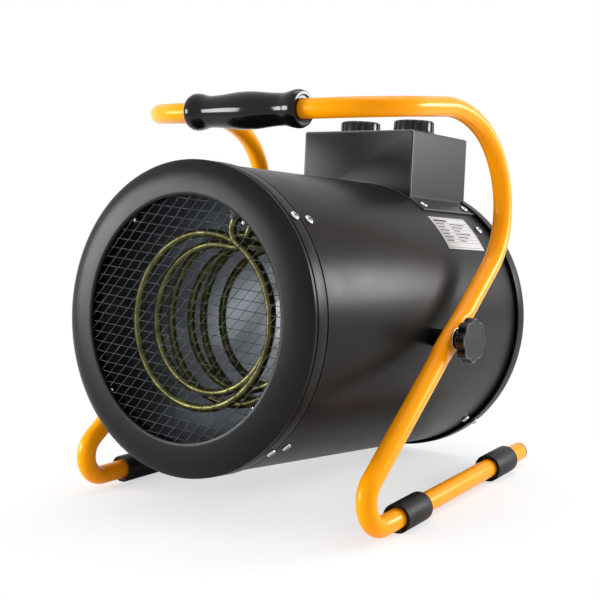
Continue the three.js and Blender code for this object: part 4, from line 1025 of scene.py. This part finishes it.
def fluted_knob(name, matrix):
    """Fluted rim, dished top and a raised pointer bar."""
    sides = 288
    reach, top = CONTROL_RADIUS, CONTROL_HEIGHT
    # height, radius, depth of the flutes
    rings = [
        (0.4, reach - 0.8, 0), (1.0, reach - 0.2, 0), (2.2, reach - 0.2, 0), (2.8, reach - 0.9, 0.3),
        (3.2, reach - 1.2, 0.9), (4.5, reach - 1.3, 1), (top - 2.2, reach - 1.5, 1),
        (top - 1.2, reach - 1.9, 0.9), (top - 0.5, reach - 2.6, 0.4), (top - 0.1, reach - 3.6, 0.1),
        (top, reach - 4.6, 0), (top, reach - 8.4, 0), (top - 0.4, reach - 9.2, 0), (top - 0.6, 6, 0),
    ]
    vertices = []
    for height, radius, depth in rings:
        for k in range(sides):
            turn = TAU * k / sides
            wave = max(0.0, math.cos(CONTROL_FLUTES * turn)) ** 1.2
            out = radius - 1.7 * depth * wave
            vertices.append((out * math.cos(turn), out * math.sin(turn), height))
    vertices += [(0, 0, top - 0.6), (0, 0, 0.4)]
    faces = band(0, len(rings), sides)
    middle, bottom = len(vertices) - 2, len(vertices) - 1
    last = (len(rings) - 1) * sides
    for k in range(sides):
        after = (k + 1) % sides
        faces.append((last + k, last + after, middle))
        faces.append((after, k, bottom))
    body = new_object(name + "_body", vertices, faces, matrix, KNOB_BLACK, 40)
    bar = [(-1.1, 5 - reach), (1.1, 5 - reach), (1.1, -6), (-1.1, -6)]
    pointer = extrude(name + "_bar", bar, top - 0.8, top + 0.3, matrix, LABEL, bevel=0.2, segments=2)
    return join(name, [body, pointer])


# ---------------- tilt clamps

WASHER_START = stand_half_width(PIVOT_HEIGHT) + PRESSED_THICKNESS / 2 + 0.3
HUB_START = WASHER_START + WASHER_THICKNESS + 0.3
STAR_START = HUB_START + HUB_LENGTH
STAR_END = STAR_START + STAR_THICKNESS


def star_radius(turn, radius):
    wave = (1 - math.cos(STAR_LOBES * turn)) / 2
    return radius * (1 - STAR_LOBE_DEPTH * wave**1.5)


def star_layers(name, layers, matrix, material, capped=False):
    """Rings of (along, radius) on the knob's axis as one skin: lobed from STAR_START on, round before it."""
    sides = 192
    vertices = []
    for along, radius in layers:
        for k in range(sides):
            turn = TAU * k / sides
            reach = radius if along < STAR_START else star_radius(turn, radius)
            vertices.append((reach * math.sin(turn), along, reach * math.cos(turn)))
    faces = band(0, len(layers), sides)
    if capped:
        faces += end_faces(0, len(layers), sides)
    return new_object(name, vertices, faces, matrix, material, 40)


def make_star_knobs():
    low, high = STAR_START, STAR_END
    skin = [
        (HUB_START, 9.6), (HUB_START + 0.5, 10.2), (low - 1.6, 10.4), (low - 0.4, 12.4), (low, 19.6),
        (low + 0.6, 21.4), (low + 1.6, STAR_RADIUS), (high - 0.9, STAR_RADIUS), (high - 0.8, 20.6),
    ]
    edge = [
        (high - 0.9, 22.3), (high - 0.5, 22.3), (high + 0.15, 21.6), (high + 0.15, 20.9),
        (high - 0.3, 20.6),
    ]
    for name, side in SIDES:
        place = TILTED @ rotated(-side * QUARTER, "Z")
        body = star_layers("star_body", skin, place, KNOB_BLACK, capped=True)
        # the rounded edge round the face, in the lighter moulding: painted highlight
        rim = star_layers("star_rim", edge, place, KNOB_RIM_HIGHLIGHT)
        disc = [(high - 0.7, 20.8), (high - 0.25, 20.8)]
        face = star_layers("star_face", disc, place, KNOB_FACE, capped=True)
        add(join(f"star_knob_{name}", [body, rim, face]), f"clamp_{name}", "knob", f"clamp_knob_{name}")


def make_washers():
    washer_end = WASHER_START + WASHER_THICKNESS
    bush_start = CASING_RADIUS + 0.3
    bush_end = WASHER_START - PRESSED_THICKNESS - 0.6
    for name, side in SIDES:
        place = METRES @ moved(*pivot) @ rotated(-side * QUARTER, "Z")
        outline = [(CLAMP_BORE, WASHER_START), (WASHER_RADIUS, WASHER_START, 0.4)]
        outline += [(WASHER_RADIUS, washer_end, 0.5), (CLAMP_BORE, washer_end)]
        add(lathe(f"washer_{name}", outline, place, ZINC, 72), "heater", "zinc", f"clamp_washer_{name}")
        outline = [(CLAMP_BORE, bush_start), (BUSH_RADIUS, bush_start, 0.4)]
        outline += [(BUSH_RADIUS, bush_end, 0.8), (CLAMP_BORE, bush_end)]
        add(lathe(f"spacer_{name}", outline, place, BUSH_BLACK, 64), "heater", "bush", f"pivot_bush_{name}")


# ---------------- screws and label


def screw(name, matrix, radius=4.6, height=2.6):
    """Pan head with a cross recess on a thin black washer; its underside is at z = 0."""
    upright = matrix @ rotated(QUARTER, "X")
    rim = [(0, 0), (radius + 0.7, 0), (radius + 0.7, 0.5, 0.2), (0, 0.5)]
    disc = lathe(name + "_washer", rim, upright, KNOB_BLACK, 40)
    steps = 10
    dome = [(0, 0.4), (radius, 0.4, 0.2)]
    for i in range(steps + 1):
        turn = QUARTER * i / steps
        dome.append((radius * math.cos(turn) ** 0.7, 1.2 + (height - 1.2) * math.sin(turn)))
    head = lathe(name + "_head", dome, upright, ZINC, 40, sharp=50)
    reach = 0.55 * radius
    arm = [(-0.6, -reach), (0.6, -reach), (0.6, reach), (-0.6, reach)]
    arms = []
    for turn in (0.4, 0.4 + QUARTER):
        across = matrix @ rotated(turn, "Z")
        arms.append(extrude(name + "_slot", arm, height - 0.3, height + 0.02, across, KNOB_BLACK, bevel=0))
    return join(name, [disc, head, *arms])


SCREWS = {
    # name: (degrees from the top, distance along the drum, radius of the surface)
    "skirt_top": (48.5, -190.6, 150.8),
    "body_top": (49.2, -168, 149),
    "skirt_low": (140.6, -187, 150.8),
    "body_low": (139.2, -165.5, 149),
    "rear_body_top": (47, 165.4, 149),
    "rear_body_low": (138.5, 175.6, 149),
    "rear_ring_low": (139.6, 195.5, 153),
    "rear_ring_top": (47.5, 195.5, 153),
}
# across and upwards from the drum's axis
NET_SCREWS = {"top": (67.5, 92), "low": (88.5, -76)}
# distance along the drum
FLANGE_SCREWS = {"front": 84, "rear": 173.6}
FLANGE_SCREW_DEGREES = 33.9


def make_screws():
    for name, (degrees, along, radius) in SCREWS.items():
        for hand, side in SIDES:
            place = drum_radial(side * degrees, radius, along)
            add(screw(f"screw_{name}_{hand}", place), "heater", "zinc")
    for name, (x, z) in NET_SCREWS.items():
        for hand, side in SIDES:
            place = DRUM @ moved(side * x, -DRUM_HALF - 2, z) @ rotated(QUARTER, "X")
            add(screw(f"screw_net_{name}_{hand}", place, 1.7, 1.5), "heater", "zinc")
    for name, along in FLANGE_SCREWS.items():
        for hand, side in SIDES:
            place = drum_radial(side * FLANGE_SCREW_DEGREES, BOX_SEAT + SHEET, along)
            add(screw(f"screw_flange_{name}_{hand}", place), "heater", "zinc")


def curved_plate(name, degrees, along, radius, thick, material):
    """Patch of a thin shell round the drum: from and to in degrees, from and to along the drum."""
    steps = max(1, round((degrees[1] - degrees[0]) / 0.7))
    near, far = along
    ring = ((radius, near), (radius, far), (radius + thick, far), (radius + thick, near))
    vertices = []
    for i in range(steps + 1):
        turn = math.radians(degrees[0] + (degrees[1] - degrees[0]) * i / steps)
        vertices += [(reach * math.sin(turn), place, reach * math.cos(turn)) for reach, place in ring]
    faces = band(0, steps + 1, 4) + end_faces(0, steps + 1, 4)
    return new_object(name, vertices, faces, DRUM, material, 40)


PLATE_DEGREES = (41, 58)
PLATE_ALONG = (71, 149)


def make_label():
    """Rating plate as an empty form: a frame and ruled rows, with no lettering."""
    (first, last), (low, high) = PLATE_DEGREES, PLATE_ALONG
    surface = CASING_RADIUS + 0.05
    pieces = [curved_plate("plate", PLATE_DEGREES, PLATE_ALONG, surface, 0.35, LABEL)]
    ink = surface + 0.3
    rules = [((place, place + 0.15), (low + 2, high - 2)) for place in (first + 0.8, last - 0.95)]
    rules += [((first + 0.8, last - 0.8), (place, place + 0.4)) for place in (low + 2, high - 2.4)]
    for row in range(7):
        at = first + 3.2 + 1.75 * row
        rules.append(((at, at + 0.13), (low + 2, high - 2)))
    rules.append(((first + 3.4, last - 3.2), (low + 30, low + 30.4)))
    rules.append(((first + 1.6, first + 2.7), (low + 5, low + 33)))
    for row in range(6):
        at = first + 3.75 + 1.75 * row
        rules.append(((at, at + 0.55), (low + 5, low + 24 - 4 * (row % 2))))
        rules.append(((at, at + 0.55), (low + 34, low + 66 - 9 * (row % 3))))
    for degrees, along in rules:
        pieces.append(curved_plate("rule", degrees, along, ink, 0.08, INK))
    add(join("blank_form", pieces), "heater", "insulator")


# ---------------- build

make_stand()
make_grip()
make_sleeves()
make_end_caps()
make_casing()
make_front_ring()
make_rear_ring()
make_nets()
make_elements()
make_shield()
make_shroud()
make_fan()
make_motor()
make_control_box()
make_control_knobs()
make_dial_marks()
make_star_knobs()
make_washers()
make_screws()
make_label()

# ---------------- studio

# from and to in metres from the middle of the floor, and the least share of white
FLOOR_SEEN = (0.12, 0.48, 0.55)
FLOOR_MIRRORED = (0.45, 1.6, 0.05)
FLOOR_HALF = 6.0
FLOOR_TONE = 0.88
WORLD_LEVEL = 0.67


def combined(tree, operation, first, second):
    return put(tree, "Math", {0: first, 1: second}, operation=operation).outputs[0]


def show_rays(tree):
    """Which rays show the background: 1 for camera rays, and 1 for glossy and transmission rays."""
    path = put(tree, "LightPath").outputs
    mirrored = combined(tree, "MAXIMUM", path["Is Glossy Ray"], path["Is Transmission Ray"])
    return path["Is Camera Ray"], mirrored


def make_floor():
    """Pale floor that keeps the shadow near the object and runs out into the white background."""
    mesh = bpy.data.meshes.new("floor")
    corners = [(x * FLOOR_HALF, y * FLOOR_HALF, 0) for x, y in ((-1, -1), (1, -1), (1, 1), (-1, 1))]
    mesh.from_pydata(corners, [], [(0, 1, 2, 3)])
    material = empty_material("floor_white")
    mesh.materials.append(material)
    tree = material.node_tree
    place = put(tree, "TexCoord").outputs["Object"]
    distance = put(tree, "VectorMath", {0: place}, operation="LENGTH").outputs["Value"]
    shares = []
    for rays, (start, end, least) in zip(show_rays(tree), (FLOOR_SEEN, FLOOR_MIRRORED)):
        span = {"Value": distance, "From Min": start, "From Max": end, "To Min": least, "To Max": 1.0}
        fade = put(tree, "MapRange", span, interpolation_type="SMOOTHSTEP")
        shares.append(combined(tree, "MULTIPLY", fade.outputs["Result"], rays))
    pale = put(tree, "BsdfDiffuse", {"Color": tone(FLOOR_TONE)})
    white = put(tree, "Emission", {"Strength": 1.0})
    share = combined(tree, "MAXIMUM", *shares)
    mix = put(tree, "MixShader", {0: share, 1: pale.outputs[0], 2: white.outputs[0]})
    put(tree, "OutputMaterial", {0: mix.outputs[0]})
    floor = link_object("floor", mesh)


def make_world():
    """White where camera, glossy or transmission rays see it, and a plain soft level elsewhere."""
    world = bpy.data.worlds.new("studio")
    bpy.context.scene.world = world
    world.use_nodes = True
    tree = world.node_tree
    tree.nodes.clear()
    soft = put(tree, "Background", {0: tone(1.0), 1: WORLD_LEVEL})
    white = put(tree, "Background", {0: tone(1.0), 1: 1.0})
    share = combined(tree, "MAXIMUM", *show_rays(tree))
    mix = put(tree, "MixShader", {0: share, 1: soft.outputs[0], 2: white.outputs[0]})
    put(tree, "OutputWorld", {0: mix.outputs[0]})


def area_light(name, place, target, size, power):
    lamp = bpy.data.lights.new(name, "AREA")
    lamp.shape = "RECTANGLE"
    lamp.size, lamp.size_y = size
    lamp.energy = power
    light = link_object(name, lamp)
    light.location = place
    aim = Vector(target) - Vector(place)
    light.rotation_euler = aim.to_track_quat("-Z", "Y").to_euler()


make_floor()
make_world()
area_light("key_left", (-1.53, -1.43, 0.57), (-0.1, -0.2, 0.2), (0.95, 0.6), 42)
area_light("side_right", (1.35, 1.35, 0.64), (0.1, -0.1, 0.2), (0.9, 0.48), 30)
area_light("top", (0.1, 0.6, 2.3), (0, 0, 0.2), (1.4, 1.2), 18)

bpy.context.scene.view_settings.view_transform = "Standard"
